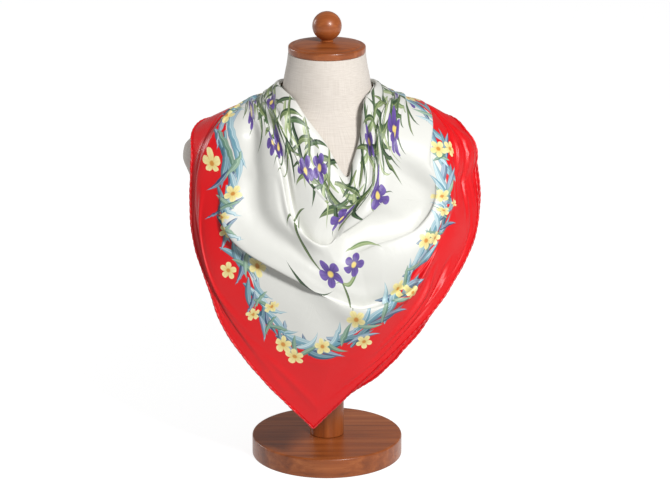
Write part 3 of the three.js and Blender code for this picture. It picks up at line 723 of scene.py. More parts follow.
# %% The creases
# Each crease runs from one (turn, across) to another, with a width and a height in millimetres. A height
# below zero is a trough. bow is how far its middle stands off the straight line.
TURN_SIZE, ACROSS_SIZE = 520, 430
CREASES = [
    # gathers that fan out from the viewer's left shoulder
    ((-0.64, 0.42), (-0.40, 0.62), 7, 3.2, 10), ((-0.66, 0.50), (-0.44, 0.80), 8, -3.4, 12),
    ((-0.63, 0.60), (-0.36, 0.86), 7, 2.8, 10), ((-0.60, 0.72), (-0.33, 0.95), 8, -2.6, -8),
    # gathers that fan out from the viewer's right shoulder
    ((0.66, 0.40), (0.47, 0.60), 6, 3.0, -8), ((0.66, 0.48), (0.44, 0.78), 8, -3.6, -12),
    ((0.64, 0.56), (0.40, 0.88), 7, 3.4, -10), ((0.62, 0.70), (0.36, 0.96), 8, -3.0, 9),
    ((0.58, 0.82), (0.45, 0.98), 6, 2.4, 4),
    # long soft ones down the chest, towards the square's corner
    ((-0.30, 0.60), (-0.08, 0.86), 12, 3.4, 12), ((-0.26, 0.74), (-0.05, 0.95), 9, -2.6, 10),
    ((0.30, 0.58), (0.08, 0.84), 12, 3.6, -14), ((0.34, 0.72), (0.12, 0.93), 10, -3.2, -10),
    ((0.06, 0.62), (0.02, 0.93), 13, -2.6, 6), ((-0.05, 0.56), (-0.03, 0.80), 12, 2.4, -6),
    ((0.22, 0.82), (0.06, 0.96), 8, 2.2, 6), ((-0.16, 0.86), (-0.03, 0.97), 8, 2.0, -5),
    # narrow ones along the rolled neck band, as the silk was twisted when it was tied
    ((-0.66, 0.03), (-0.34, 0.095), 6.0, -4.2, 3), ((-0.46, 0.02), (-0.12, 0.090), 6.0, -4.4, 4),
    ((-0.26, 0.02), (-0.02, 0.085), 5.6, -4.0, -3), ((-0.56, 0.06), (-0.30, 0.105), 5.6, 3.0, 3),
    ((-0.34, 0.05), (-0.06, 0.105), 5.6, 2.8, 2), ((0.66, 0.03), (0.34, 0.090), 6.0, -4.0, -3),
    ((0.44, 0.02), (0.14, 0.088), 6.0, -4.2, -4), ((0.22, 0.03), (0.03, 0.090), 5.6, -3.6, 3),
    ((0.54, 0.06), (0.26, 0.100), 5.6, 2.8, 2),
    # between the folds of the chest, where they pull on the silk
    ((-0.34, 0.17), (-0.10, 0.22), 5, 1.9, 4), ((-0.28, 0.29), (-0.09, 0.31), 5, -2.2, -4),
    ((0.34, 0.18), (0.12, 0.21), 5, 2.0, -4), ((0.30, 0.30), (0.12, 0.29), 5, -2.0, 3),
    ((-0.26, 0.42), (-0.12, 0.46), 6, 2.0, 5), ((0.40, 0.38), (0.16, 0.42), 6, -2.4, -6),
    ((0.36, 0.43), (0.14, 0.455), 5, 2.0, -4), ((-0.10, 0.36), (0.10, 0.40), 7, -2.0, 6),
    ((-0.06, 0.44), (0.07, 0.445), 6, 1.8, 4),
    # above and below the right half of the cowl
    ((-0.05, 0.450), (0.26, 0.446), 11, -7.0, 4), ((-0.02, 0.53), (0.24, 0.535), 11, 3.4, 4),
    # beside the left hand ridge, and the pocket where it meets the right hand fold
    ((-0.46, 0.222), (-0.03, 0.222), 9, -6.5, 3), ((-0.10, 0.236), (0.06, 0.238), 9, -5.5, 0),
    # above the right hand fold
    ((0.02, 0.298), (0.38, 0.300), 10, -6.5, 3), ((0.04, 0.375), (0.34, 0.372), 10, 3.0, 3),
    # small wrinkles of the red border
    ((-0.36, 0.86), (-0.20, 0.93), 5, 1.7, 4), ((-0.20, 0.90), (-0.09, 0.95), 5, -1.6, 3),
    ((0.13, 0.90), (0.30, 0.88), 5, 1.8, -4), ((0.28, 0.92), (0.42, 0.90), 5, -1.7, 3),
    ((-0.09, 0.88), (0.01, 0.93), 6, 1.5, -3), ((0.02, 0.90), (0.11, 0.95), 5, -1.5, 3),
    # behind the shoulders, drawn in towards the knot
    ((-0.97, 0.20), (-0.68, 0.34), 6, 3.2, 4), ((-0.97, 0.38), (-0.66, 0.60), 7, -3.6, 6),
    ((-0.97, 0.52), (-0.68, 0.80), 6, 3.4, 6), ((-0.97, 0.68), (-0.72, 0.95), 7, -3.0, 4),
    ((0.97, 0.22), (0.70, 0.36), 6, 3.0, -4), ((0.97, 0.40), (0.67, 0.64), 7, -3.4, -6),
    ((0.97, 0.56), (0.70, 0.84), 6, 3.6, -6), ((0.97, 0.72), (0.74, 0.97), 7, -2.8, -4),
]


def creases_at(turns, across):
    """How far the creases lift the cloth at each place."""
    x, y = turns[:, None] * TURN_SIZE + 0 * across, across * ACROSS_SIZE
    lift = np.zeros_like(across)
    for start, end, width, height, bow in CREASES:
        ax, ay = start[0] * TURN_SIZE, start[1] * ACROSS_SIZE
        bx, by = end[0] * TURN_SIZE, end[1] * ACROSS_SIZE
        length = math.hypot(bx - ax, by - ay)
        ux, uy = (bx - ax) / length, (by - ay) / length
        along = ((x - ax) * ux + (y - ay) * uy) / length
        beside = -(x - ax) * uy + (y - ay) * ux
        inside = np.clip(along, 0, 1)
        beside = beside - bow * 4 * inside * (1 - inside)
        ends = np.sin(math.pi * inside) ** 0.8
        lift += height * ends * np.exp(-(beside / width) ** 2)
    return lift


print("folds:", len(FOLDS), "creases:", len(CREASES))

# %% [markdown]
# ## Laying the print on the cloth
# The print belongs to the flat square, so each point of the drape has to know where it lies there. We
# measure it on the cloth itself: how far it is in from the hem, and how far along. Where a fold tucks
# cloth behind, the measure still runs on, and so the pattern is cut off at the fold as it should be.

# %% Measure the flat places
CORNER_ROUND = 126
GARLAND_IN = 64


def run_lengths(points, axis):
    """Lengths walked along a grid's axis, starting from 0."""
    steps = np.linalg.norm(np.diff(points, axis=axis), axis=-1)
    start = np.zeros_like(np.take(steps, [0], axis=axis))
    return np.concatenate([start, np.cumsum(steps, axis=axis)], axis=axis)


def near_line(points, line):
    """How far each point is from a line of points, and where along the line its nearest place is."""
    walked = run_lengths(line, 0)
    starts, ways = line[:-1], np.diff(line, axis=0)
    squares = np.maximum(np.sum(ways ** 2, -1), 1e-9)
    best = np.full(points.shape[:-1], np.inf)
    place = np.zeros(points.shape[:-1])
    for start, way, square, at, length in zip(starts, ways, squares, walked[:-1], np.sqrt(squares)):
        share = np.clip(((points - start) @ way) / square, 0, 1)
        far = np.linalg.norm(points - start - share[..., None] * way, axis=-1)
        closer = far < best
        best = np.where(closer, far, best)
        place = np.where(closer, at + share * length, place)
    return best, place


def unfolded(values, places):
    """Values on the grid as they run on the cloth: where a fold turns back, the cloth still runs on."""
    inward = values[:, ::-1]
    steps = np.diff(inward, axis=1)
    back = np.diff(places[:, ::-1], axis=1) > 0
    walked = np.cumsum(np.where(back, -steps, steps), axis=1)
    run = np.concatenate([inward[:, :1], inward[:, :1] + walked], axis=1)
    return run[:, ::-1]


def garland_path(on_left, left_in, right_in, left_along, right_along):
    """Along the garland and in from the hem, in metres, with the garland's rounded corner."""
    off = np.where(on_left, left_in, right_in)
    along = np.where(on_left, left_along, right_along)
    cx, cy = CORNER_ROUND - off, CORNER_ROUND - np.where(on_left, right_in, left_in)
    in_corner = (cx > 0) & (cy > 0)
    bend = CORNER_ROUND - GARLAND_IN
    round_path = bend * (math.pi / 4 - np.arctan2(np.maximum(cy, 0), np.maximum(cx, 1e-6)))
    straight_path = bend * math.pi / 4 + np.maximum(along - CORNER_ROUND, 0)
    path = np.where(in_corner, round_path, straight_path)
    off = np.where(in_corner, CORNER_ROUND - np.hypot(cx, cy), off)
    return np.stack([np.where(on_left, -path, path) * MM, off * MM], -1)


# turn, millimetres by which the border is wider there, since the fold ran a little beside the diagonal
BORDER_ASKEW = [(-1, 0), (0.10, 0), (0.28, 12), (0.48, 17), (0.70, 14), (1, 8)]


def hem_places(turns, places, points):
    """The garland's measures over a leaf, whose folds lie at the places."""
    keys, line = hem_line()
    fine = np.linspace(-1, 1, 161)
    hem = curve_through(keys, line, fine, corner=keys.index(0))
    left_in, left_along = near_line(points, hem[fine <= 0][::-1])
    right_in, right_along = near_line(points, hem[fine >= 0])
    right_in = right_in - read_table(BORDER_ASKEW, 1, turns)[:, None] * np.minimum(places / 0.6, 1)
    measures = [unfolded(values, places) for values in (left_in, right_in, left_along, right_along)]
    return garland_path((turns < 0)[:, None], *measures)


def neck_places(turns, points):
    """Along from the middle of the chest and down from the neck fold, in metres."""
    walked = run_lengths(points, 0)
    middle = np.array([np.interp(0, turns, walked[:, j]) for j in range(walked.shape[1])])
    return np.stack([(walked - middle) * MM, run_lengths(points, 1) * MM], -1)

# %% [markdown]
# ## The silk leaves
# Folding the square gives two leaves. The outer one shows the print, and the inner one slips out past it
# on the viewer's right. Both are closed walls half a millimetre thick, over a grid whose rows lie close
# together where a fold turns.

# %% Grids that are finer where a fold turns
SILK = {"wall": 0.5, "outer_gap": 7, "under_gap": 2.2, "leaf_step": 4.6}


def finer_rows(start, end, count, lines, width, gain):
    """Values from start to end, closer together near the lines."""
    fine = np.linspace(start, end, 4001)
    crowd = 1 + sum(gain * np.exp(-((fine - line) / width) ** 2) for line in lines)
    walked = np.concatenate([[0], np.cumsum((crowd[1:] + crowd[:-1]) / 2)])
    return np.interp(np.linspace(0, walked[-1], count), walked, fine)


def square_out(points):
    """The way out of a grid of points, at each point."""
    along, across = np.gradient(points, axis=0), np.gradient(points, axis=1)
    out = np.cross(across, along)
    return out / np.maximum(np.linalg.norm(out, axis=-1, keepdims=True), 1e-9)


def silk_wall(name, points, thickness, finish, maps):
    """A closed sheet of cloth over a grid of points, with its UV maps."""
    rows, columns = points.shape[:2]
    out = square_out(points) * thickness / 2
    both = np.vstack([(points + out).reshape(-1, 3), (points - out).reshape(-1, 3)])
    front = grid_faces(rows, columns)
    back = grid_faces(rows, columns, start=rows * columns, flip=True)
    i, j, under = np.arange(rows - 1), np.arange(columns - 1), rows * columns

    def rim(a, b):
        return np.stack([a, b, b + under, a + under], -1)

    rims = [rim(i * columns, (i + 1) * columns), rim((i + 2) * columns - 1, (i + 1) * columns - 1),
            rim(j + 1, j), rim((rows - 1) * columns + j, (rows - 1) * columns + j + 1)]
    piece = add_piece(name, both, np.vstack([front, back, *rims]), finish)
    for map_name, places in maps.items():
        flat = places.reshape(-1, 2)
        add_uv(piece, map_name, np.vstack([flat, flat]))
    return piece

# %% The outer leaf's shape
leaf_turns = finer_rows(-KNOT["panel_end"], KNOT["panel_end"], 282, [-0.05, 0.05], 0.25, 0.9)
leaf_turns[np.argmin(np.abs(leaf_turns))] = 0
leaf_across = finer_rows(0, 1, 164, [0.07, 0.12, 0.257, 0.335, 0.487], 0.03, 2.2)
leaf_grid = np.tile(leaf_across, (len(leaf_turns), 1))


def outer_silk(turns, across):
    place, rise = folds_at(turns, across)
    smooth = smooth_drape(turns, place)
    points = clear_of_form(smooth, SILK["outer_gap"])
    _, out = form_field(points)
    points = points + out * (rise + creases_at(turns, across))[..., None]
    return clear_of_form(points, SILK["outer_gap"], PUSH["after_folds"]), smooth


def folded_over(points, radius, tail, steps):
    """The grid with the cloth turned over inwards at the neck fold."""
    out = square_out(points)[:, 0]
    up = points[:, 0] - points[:, 1]
    up /= np.linalg.norm(up, axis=-1, keepdims=True)
    rows = [points[:, 0] + up * radius * math.sin(a) - out * radius * (1 - math.cos(a))
            for a in np.linspace(0, math.pi, steps + 1)[1:]]
    rows.append(rows[-1] - up * tail)
    return np.concatenate([np.stack(rows[::-1], 1), points], axis=1)


def folded_maps(maps, added, size):
    """UV maps that run on over the turned part, which is size metres wide."""
    over = np.linspace(-size, 0, added + 1)[:-1]
    longer = {}
    for name, places in maps.items():
        first = np.repeat(places[:, :1], added, axis=1)
        first[..., 1] += over * (1 if name == "neck" else -1)
        longer[name] = np.concatenate([first, places], axis=1)
    return longer


outer_points, outer_smooth = outer_silk(leaf_turns, leaf_grid)
outer_maps = {
    "hem": hem_places(leaf_turns, folds_at(leaf_turns, leaf_grid)[0], outer_smooth),
    "neck": neck_places(leaf_turns, outer_smooth),
}
NECK_LIP = {"radius": 2.3, "tail": 6, "steps": 6, "width": 0.013}
outer_points = folded_over(outer_points, NECK_LIP["radius"], NECK_LIP["tail"], NECK_LIP["steps"])
outer_maps = folded_maps(outer_maps, NECK_LIP["steps"] + 1, NECK_LIP["width"])
print("outer leaf, from", outer_points.min((0, 1)).round(), "to", outer_points.max((0, 1)).round())

# %% The under leaf's shape
UNDER_REACH = [
    (-0.7, 1), (-0.62, 0.995), (-0.3, 0.993), (-0.06, 0.99), (0, 0.985), (0.05, 1.005), (0.1, 1.08),
    (0.15, 1.09), (0.21, 1.035), (0.27, 0.995), (0.36, 0.995), (0.45, 1.065), (0.54, 1.125), (0.62, 1.105),
    (0.7, 1.06), (0.88, 1), (0.97, 1),
]
under_turns = finer_rows(-0.97, 0.97, 186, [0.1, 0.5], 0.2, 0.6)
under_across = np.linspace(0.004, 1, 68)


def under_silk(turns, across):
    place = across * read_table(UNDER_REACH, 1, turns)[:, None]
    smooth = smooth_drape(turns, place)
    _, out = form_field(smooth)
    lift = -SILK["leaf_step"] - trough_at(turns, place) + 0.9 * np.minimum(creases_at(turns, across), 0)
    return clear_of_form(smooth + out * lift[..., None], SILK["under_gap"]), smooth


under_grid = np.tile(under_across, (len(under_turns), 1))
under_points, under_smooth = under_silk(under_turns, under_grid)
under_maps = {
    "hem": hem_places(under_turns, under_grid, under_smooth),
    "neck": neck_places(under_turns, under_smooth),
}

# %% [markdown]
# ## The print
# The ground is ivory with a wide red border, and a garland of slim leaves and small yellow blossoms runs
# where they meet. Sprays of green leaves and violet blossoms lie along the neck and trail down the chest.
# It could be one large picture, but pictures are not used here. Each motif is instead a small node group:
# it takes the colour so far, works out one leaf or blossom from distances alone, and paints it on top.
# A row of motifs is the same group with its measure along the row wrapped round and round.

# %% A node group for leaves
def new_group(name, kind, given, result):
    """A node group with the sockets given, listed by kind, and one result."""
    tree = bpy.data.node_groups.new(name, kind)
    for socket_kind, names in given:
        for socket in names:
            tree.interface.new_socket(socket, in_out="INPUT", socket_type="NodeSocket" + socket_kind)
    tree.interface.new_socket(result, in_out="OUTPUT", socket_type="NodeSocket" + given[0][0])
    start, end = tree.nodes.new("NodeGroupInput"), tree.nodes.new("NodeGroupOutput")
    return tree, start.outputs, end.inputs[result]


def motif_group(name, numbers, colours):
    given = [("Color", ["Colour", *colours]), ("Float", ["Along", "Off", *numbers])]
    return new_group(name, "ShaderNodeTree", given, "Colour")


SECOND_SEED = 37.3


def wrapped(tree, given):
    """The measure inside one repeat of a row, and two random numbers of that repeat."""
    count = add(over(given["Along"], given["Spacing"]), given["Start"])
    number = calc("FLOOR", count)
    inside = times(less(less(count, number), 0.5), given["Spacing"])
    throws = [node(tree, "ShaderNodeTexWhiteNoise", {"W": add(number, seed)}, noise_dimensions="1D")
              for seed in (given["Seed"], add(given["Seed"], SECOND_SEED))]
    return inside, *[throw.outputs["Value"] for throw in throws]


def turned_axes(x, y, angle):
    cosine, sine = calc("COSINE", angle), calc("SINE", angle)
    along = add(times(x, cosine), times(y, sine))
    beside = less(times(y, cosine), times(x, sine))
    return along, beside


LEAF_NUMBERS = ["Spacing", "Start", "Centre", "Angle", "Length", "Width", "Bend", "Loose"]


def make_leaf_group():
    tree, given, result = motif_group("leaf", [*LEAF_NUMBERS, "Seed"], ["Dark", "Light"])
    x, chance, more = wrapped(tree, given)
    loose = times(less(chance, 0.5), given["Loose"])
    y = less(less(given["Off"], given["Centre"]), times(loose, 0.02))
    tilt = add(given["Angle"], times(less(more, 0.5), given["Loose"]))
    along, beside = turned_axes(x, y, tilt)
    share = over(along, times(given["Length"], 0.5))
    round_off = calc("MAXIMUM", less(1.0, times(share, share)), 0.0)
    taper = times(round_off, less(1.0, times(share, 0.35)))
    half = times(taper, times(given["Width"], 0.5))
    bowed = less(beside, times(round_off, given["Bend"]))
    distance = less(half, calc("ABSOLUTE", bowed))
    mask = from_range(distance, 0.0, 0.0007)
    lit = over(bowed, calc("MAXIMUM", half, 0.0002))
    body = calc("MULTIPLY_ADD", lit, 0.42, 0.4)
    tone = add(body, times(less(more, 0.5), 0.5), clamp=True)
    rib = from_range(calc("ABSOLUTE", bowed), 0.0006, 0.0002, 0.0, 0.5)
    tone = add(tone, rib, clamp=True)
    inked = times(tone, from_range(distance, 0.0002, 0.0013, 0.25, 1.0))
    painted = blend_colours(inked, given["Dark"], given["Light"])
    tree.links.new(blend_colours(mask, given["Colour"], painted), result)
    return tree


leaf_group = make_leaf_group()

# %% A node group for blossoms
def make_blossom_group():
    tree, given, result = motif_group(
        "blossom", ["Spacing", "Start", "Centre", "Angle", "Size", "Petals", "Loose", "Seed"],
        ["Dark", "Light", "Heart"])
    x, chance, more = wrapped(tree, given)
    shift = times(less(chance, 0.5), given["Loose"])
    y = less(less(given["Off"], given["Centre"]), times(shift, 0.03))
    across = add(x, times(less(more, 0.5), times(given["Loose"], 0.02)))
    far = calc("SQRT", add(times(across, across), times(y, y)))
    facing = add(calc("ARCTAN2", y, across), add(given["Angle"], times(more, 6.28)))
    wave = calc("ABSOLUTE", calc("COSINE", times(times(facing, given["Petals"]), 0.5)))
    lobe = calc("POWER", wave, 0.55)
    edge = times(given["Size"], calc("MULTIPLY_ADD", lobe, 0.62, 0.38))
    mask = from_range(less(edge, far), 0.0, 0.0007)
    reach = over(far, given["Size"])
    tone = add(times(reach, 0.75), times(lobe, 0.3), clamp=True)
    painted = blend_colours(tone, given["Dark"], given["Light"])
    vein = from_range(times(less(1.0, wave), far), 0.0, 0.0006, 0.25, 0.0)
    painted = blend_colours(vein, painted, given["Dark"])
    heart = from_range(reach, 0.30, 0.16)
    painted = blend_colours(heart, painted, given["Heart"])
    tree.links.new(blend_colours(mask, given["Colour"], painted), result)
    return tree


blossom_group = make_blossom_group()

# %% The silk's colours and its motifs
RED = colour(218, 8, 18)
IVORY = colour(218, 218, 212)
TEAL = (colour(46, 88, 108), colour(160, 198, 208))
SLATE = (colour(54, 74, 110), colour(180, 204, 218))
PALE_TEAL = (colour(100, 150, 168), colour(212, 230, 232))
SAGE = (colour(92, 128, 112), colour(168, 196, 172))
GREEN = (colour(46, 72, 44), colour(150, 166, 112))
PALE_GREEN = (colour(112, 138, 88), colour(196, 204, 160))
DEEP_GREEN = (colour(24, 46, 34), colour(98, 124, 84))
YELLOW = (colour(214, 186, 96), colour(244, 234, 172), colour(206, 140, 60))
VIOLET = (colour(44, 30, 92), colour(112, 88, 164), colour(226, 200, 110))
BORDER, BORDER_EDGE = 0.064, 0.0006

# spacing, start, centre, angle, length, width, bend, loose, colours: the garland's rows of leaves
GARLAND_LEAVES = [
    (0.052, 0.10, 0.056, 0.30, 0.062, 0.0100, 0.006, 0.4, TEAL),
    (0.047, 0.45, 0.072, -0.34, 0.058, 0.0090, -0.006, 0.4, SLATE),
    (0.055, 0.80, 0.066, 0.14, 0.064, 0.0095, 0.005, 0.5, PALE_TEAL),
    (0.050, 0.30, 0.060, -0.22, 0.058, 0.0090, -0.005, 0.5, TEAL),
    (0.045, 0.65, 0.078, 0.52, 0.050, 0.0080, -0.005, 0.5, PALE_TEAL),
    (0.049, 0.15, 0.050, -0.55, 0.046, 0.0080, 0.005, 0.6, SLATE),
    (0.058, 0.55, 0.066, 0.75, 0.040, 0.0070, 0.003, 0.6, SAGE),
    (0.053, 0.90, 0.062, -0.80, 0.040, 0.0070, -0.003, 0.6, SAGE),
]
# spacing, start, centre, size, petals, loose
GARLAND_BLOSSOMS = [(0.066, 0.2, 0.068, 0.0125, 5, 0.9), (0.083, 0.7, 0.052, 0.0115, 5, 0.9)]
# the neck's rows, as the garland's
NECK_LEAVES = [
    (0.060, 0.0, 0.030, 0.75, 0.090, 0.0085, 0.010, 0.5, DEEP_GREEN),
    (0.054, 0.5, 0.056, -0.80, 0.080, 0.0080, -0.010, 0.5, GREEN),
    (0.046, 0.2, 0.018, 0.45, 0.066, 0.0075, 0.008, 0.6, PALE_GREEN),
    (0.051, 0.7, 0.062, 0.98, 0.076, 0.0080, -0.009, 0.6, DEEP_GREEN),
    (0.043, 0.4, 0.022, -0.40, 0.060, 0.0075, -0.008, 0.6, GREEN),
    (0.049, 0.9, 0.044, 1.10, 0.070, 0.0070, 0.009, 0.6, PALE_GREEN),
    (0.057, 0.6, 0.036, 0.20, 0.072, 0.0080, 0.009, 0.5, GREEN),
    (0.041, 0.1, 0.012, -0.62, 0.058, 0.0065, -0.007, 0.5, DEEP_GREEN),
    (0.039, 0.8, 0.040, -1.05, 0.062, 0.0060, 0.008, 0.5, DEEP_GREEN),
    (0.047, 0.3, 0.026, 0.95, 0.064, 0.0060, -0.008, 0.5, GREEN),
]
# along, down from the neck fold, angle, length, width, bend, colours: loose sprays on the chest
CHEST_LEAVES = [
    (-0.034, 0.138, 0.85, 0.070, 0.0062, 0.010, GREEN),
    (0.014, 0.150, 2.25, 0.062, 0.0062, -0.009, PALE_GREEN),
    (-0.040, 0.176, 0.10, 0.074, 0.0052, 0.014, DEEP_GREEN),
    (0.008, 0.182, 1.20, 0.052, 0.0048, -0.008, GREEN),
    (0.044, 0.128, 0.45, 0.056, 0.0058, -0.008, PALE_GREEN),
    (-0.058, 0.122, 2.00, 0.050, 0.0050, 0.007, GREEN),
]
# along, down, size
CHEST_BLOSSOMS = [(-0.008, 0.160, 0.0185), (0.026, 0.136, 0.0150)]
NECK_BLOSSOMS = [(0.092, 0.35, 0.058, 0.0190, 5, 0.7), (0.131, 0.85, 0.030, 0.0160, 5, 0.8)]


WAIT = 1e-6


def paint(group, under, place, numbers, tones):
    """One group of motifs over the colour so far. It waits for it, which keeps the material small."""
    tree = place["X"].id_data
    made = tree.nodes.new("ShaderNodeGroup")
    made.node_tree = group
    later = times(node(tree, "ShaderNodeRGBToBW", {"Color": under}).outputs["Val"], WAIT)
    given = {"Colour": under, "Along": add(place["X"], later), "Off": place["Y"], **numbers,
             **dict(zip(("Dark", "Light", "Heart"), tones))}
    for name, value in given.items():
        fill(tree, made.inputs[name], value)
    return made.outputs["Colour"]


def paint_leaves(under, place, rows):
    for number, (*numbers, tones) in enumerate(rows):
        numbers = dict(zip(LEAF_NUMBERS, numbers), Seed=11.0 * number + 3)
        under = paint(leaf_group, under, place, numbers, tones)
    return under


def paint_blossoms(under, place, rows, tones):
    for number, row in enumerate(rows):
        numbers = dict(zip(("Spacing", "Start", "Centre", "Size", "Petals", "Loose"), row), Angle=0.0)
        under = paint(blossom_group, under, place, {**numbers, "Seed": 17.0 * number + 5}, tones)
    return under


ALONE = 2.0


def paint_sprays(under, place, leaves, blossoms, tones):
    """Single motifs: rows whose repeat is wider than the whole cloth."""
    for along, down, angle, length, width, bend, leaf_tones in leaves:
        row = (ALONE, 0.5 - along / ALONE, down, angle, length, width, bend, 0.0, leaf_tones)
        under = paint_leaves(under, place, [row])
    for along, down, size in blossoms:
        under = paint_blossoms(under, place, [(ALONE, 0.5 - along / ALONE, down, size, 5, 0.0)], tones)
    return under

# %% The printed silk
def silk_surface(name):
    return new_finish(name, Roughness=0.36, Sheen_Weight=0.03, Sheen_Roughness=0.3, Specular_IOR_Level=0.42)


TWILL_RIB = 0.0007


def twill_relief(tree, surface, map_name):
    """The fine slanting ribs of silk twill."""
    cloth, parts = uv_parts(tree, map_name)
    slant = add(parts["X"], parts["Y"])
    ribs = calc("SINE", times(slant, 2 * math.pi / TWILL_RIB))
    add_relief(surface, add(times(ribs, 0.02), noise(cloth, 26.0, 3.0, Distortion=0.6)), 0.15, 0.006)


def printed_silk():
    finish, tree, surface = silk_surface("printed_silk")
    (_, hem), (_, neck) = uv_parts(tree, "hem"), uv_parts(tree, "neck")
    border = from_range(hem["Y"], BORDER - BORDER_EDGE, BORDER + BORDER_EDGE)
    painted = paint_leaves(IVORY, neck, NECK_LEAVES)
    painted = paint_blossoms(painted, neck, NECK_BLOSSOMS, VIOLET)
    painted = paint_sprays(painted, neck, CHEST_LEAVES, CHEST_BLOSSOMS, VIOLET)
    painted = blend_colours(border, RED, painted)
    painted = paint_leaves(painted, hem, GARLAND_LEAVES)
    painted = paint_blossoms(painted, hem, GARLAND_BLOSSOMS, YELLOW)
    tree.links.new(painted, surface.inputs["Base Color"])
    twill_relief(tree, surface, "hem")
    return finish


def red_silk():
    finish, tree, surface = silk_surface("red_silk")
    cloth = node(tree, "ShaderNodeTexCoord").outputs["Object"]
    cloud = noise(cloth, 40.0, 3.0)
    tone = blend_colours(from_range(cloud, 0.3, 0.7), colour(196, 10, 20), colour(218, 14, 24))
    tree.links.new(tone, surface.inputs["Base Color"])
    add_relief(surface, cloud, 0.12, 0.0006)
    return finish


silk_print = printed_silk()
silk_red = red_silk()

# %% Sew the leaves
outer_leaf = silk_wall("silk_outer_leaf", outer_points, SILK["wall"], silk_print, outer_maps)
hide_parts("scarf_front", "scarf_back_left", "scarf_back_right")
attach(outer_leaf, "root")
under_leaf = silk_wall("silk_under_leaf", under_points, SILK["wall"], silk_print, under_maps)
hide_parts("under_leaf")
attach(under_leaf, "root")
print("leaf faces:", len(outer_leaf.data.polygons), len(under_leaf.data.polygons))

# %% [markdown]
# ## The rolled hem
# The edge of a silk square is rolled into a thin cord by hand and caught with a stitch every centimetre
# or so, which pinches it. It could be modelled as one tube with bumps, but a rule says it better: follow
# the edge, make it thinner at each stitch, and put a ring of thread there. That is a job for Geometry
# Nodes, and the same tree then hems every edge.

# %% A node tree for the hem
HEM_STEP = 0.0015
SLACK_LENGTH, SLACK_SHARE = 0.043, 0.14
STITCH_SLANT = (0.45, 0.0, 0.0)


def hem_node_tree():
    tree, given, result = new_group("rolled_hem", "GeometryNodeTree", [
        ("Geometry", ["Geometry"]), ("Float", ["Roll radius", "Stitch spacing", "Pucker", "Thread radius"]),
        ("Material", ["Silk", "Thread"])], "Geometry")

    def step(kind, inputs=None, **settings):
        """What comes out of a node first."""
        return node(tree, "GeometryNode" + kind, inputs, **settings).outputs[0]

    edge = step("MeshToCurve", {"Mesh": given["Geometry"]})
    fine = step("ResampleCurve", {"Curve": edge, "Length": HEM_STEP}, mode="LENGTH")
    walked = node(tree, "GeometryNodeSplineParameter").outputs["Length"]
    beat = calc("COSINE", times(over(walked, given["Stitch spacing"]), 2 * math.pi))
    pinch = calc("POWER", calc("MULTIPLY_ADD", beat, 0.5, 0.5), 3.0)
    slack = times(calc("SINE", times(walked, 2 * math.pi / SLACK_LENGTH)), SLACK_SHARE)
    share = less(add(1.0, slack), times(pinch, given["Pucker"]))
    round_wire = step("CurvePrimitiveCircle", {"Resolution": 8, "Radius": 1.0})
    roll = step("CurveToMesh", {"Curve": fine, "Profile Curve": round_wire,
                                "Scale": times(share, given["Roll radius"]), "Fill Caps": True})
    roll = step("SetMaterial", {"Geometry": roll, "Material": given["Silk"]})

    spots = step("ResampleCurve", {"Curve": edge, "Length": given["Stitch spacing"]}, mode="LENGTH")
    ring = step("CurvePrimitiveCircle", {"Resolution": 10, "Radius": times(given["Roll radius"], 0.78)})
    wire = step("CurvePrimitiveCircle", {"Resolution": 4, "Radius": given["Thread radius"]})
    thread = step("CurveToMesh", {"Curve": ring, "Profile Curve": wire})
    facing = node(tree, "FunctionNodeAlignRotationToVector", {"Vector": step("InputTangent")}, axis="Z")
    stitches = step("InstanceOnPoints", {
        "Points": spots, "Instance": thread, "Rotation": facing.outputs["Rotation"]})
    slanted = step("RotateInstances", {"Instances": stitches, "Rotation": STITCH_SLANT})
    real = step("RealizeInstances", {"Geometry": slanted})
    real = step("SetMaterial", {"Geometry": real, "Material": given["Thread"]})
    joined = tree.nodes.new("GeometryNodeJoinGeometry")
    for part in (roll, real):
        tree.links.new(part, joined.inputs[0])
    tree.links.new(step("SetShadeSmooth", {"Geometry": joined.outputs[0]}), result)
    return tree


hem_nodes = hem_node_tree()

# %% Hem the two leaves
HEM_SIZES = {"Roll radius": 0.0016, "Stitch spacing": 0.0095, "Pucker": 0.3, "Thread radius": 0.00022}


def make_hem(name, path):
    """A hem along a path of points in millimetres, as a plain mesh."""
    line = bpy.data.meshes.new(name)
    line.from_pydata((np.asarray(path) * MM).tolist(), [(i, i + 1) for i in range(len(path) - 1)], [])
    hem = add_object(name, line)
    sewing = hem.modifiers.new("sewing", "NODES")
    sewing.node_group = hem_nodes
    values = {**HEM_SIZES, "Silk": silk_red, "Thread": hem_thread}
    for socket in hem_nodes.interface.items_tree:
        if socket.in_out == "INPUT" and socket.name in values:
            sewing[socket.identifier] = values[socket.name]
    seen = hem.evaluated_get(bpy.context.evaluated_depsgraph_get())
    sewn = bpy.data.meshes.new_from_object(seen)
    hem.modifiers.remove(sewing)
    hem.data = sewn
    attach(hem, "root")
    print(name, "faces:", len(sewn.polygons))
    return hem


hem_thread, *_ = new_finish("hem_thread", Roughness=0.6, Base_Color=colour(150, 12, 24))
HEM_LIFT = 0.6


def edge_path(points):
    """The last row of a grid, a little out from the cloth, where the roll lies."""
    return points[:, -1] + square_out(points)[:, -1] * HEM_LIFT


outer_hem = make_hem("outer_hem", edge_path(outer_points))
under_hem = make_hem("under_hem", edge_path(under_points))

# %% [markdown]
# ## The knot and its tails
# The two far corners of the square are tied behind the neck, and hang down the back. The photograph
# doesn't show them, so they are made as such a square is tied: two gathered bundles that meet, one turn
# of silk round them, and two pleated ends that open towards their corners.

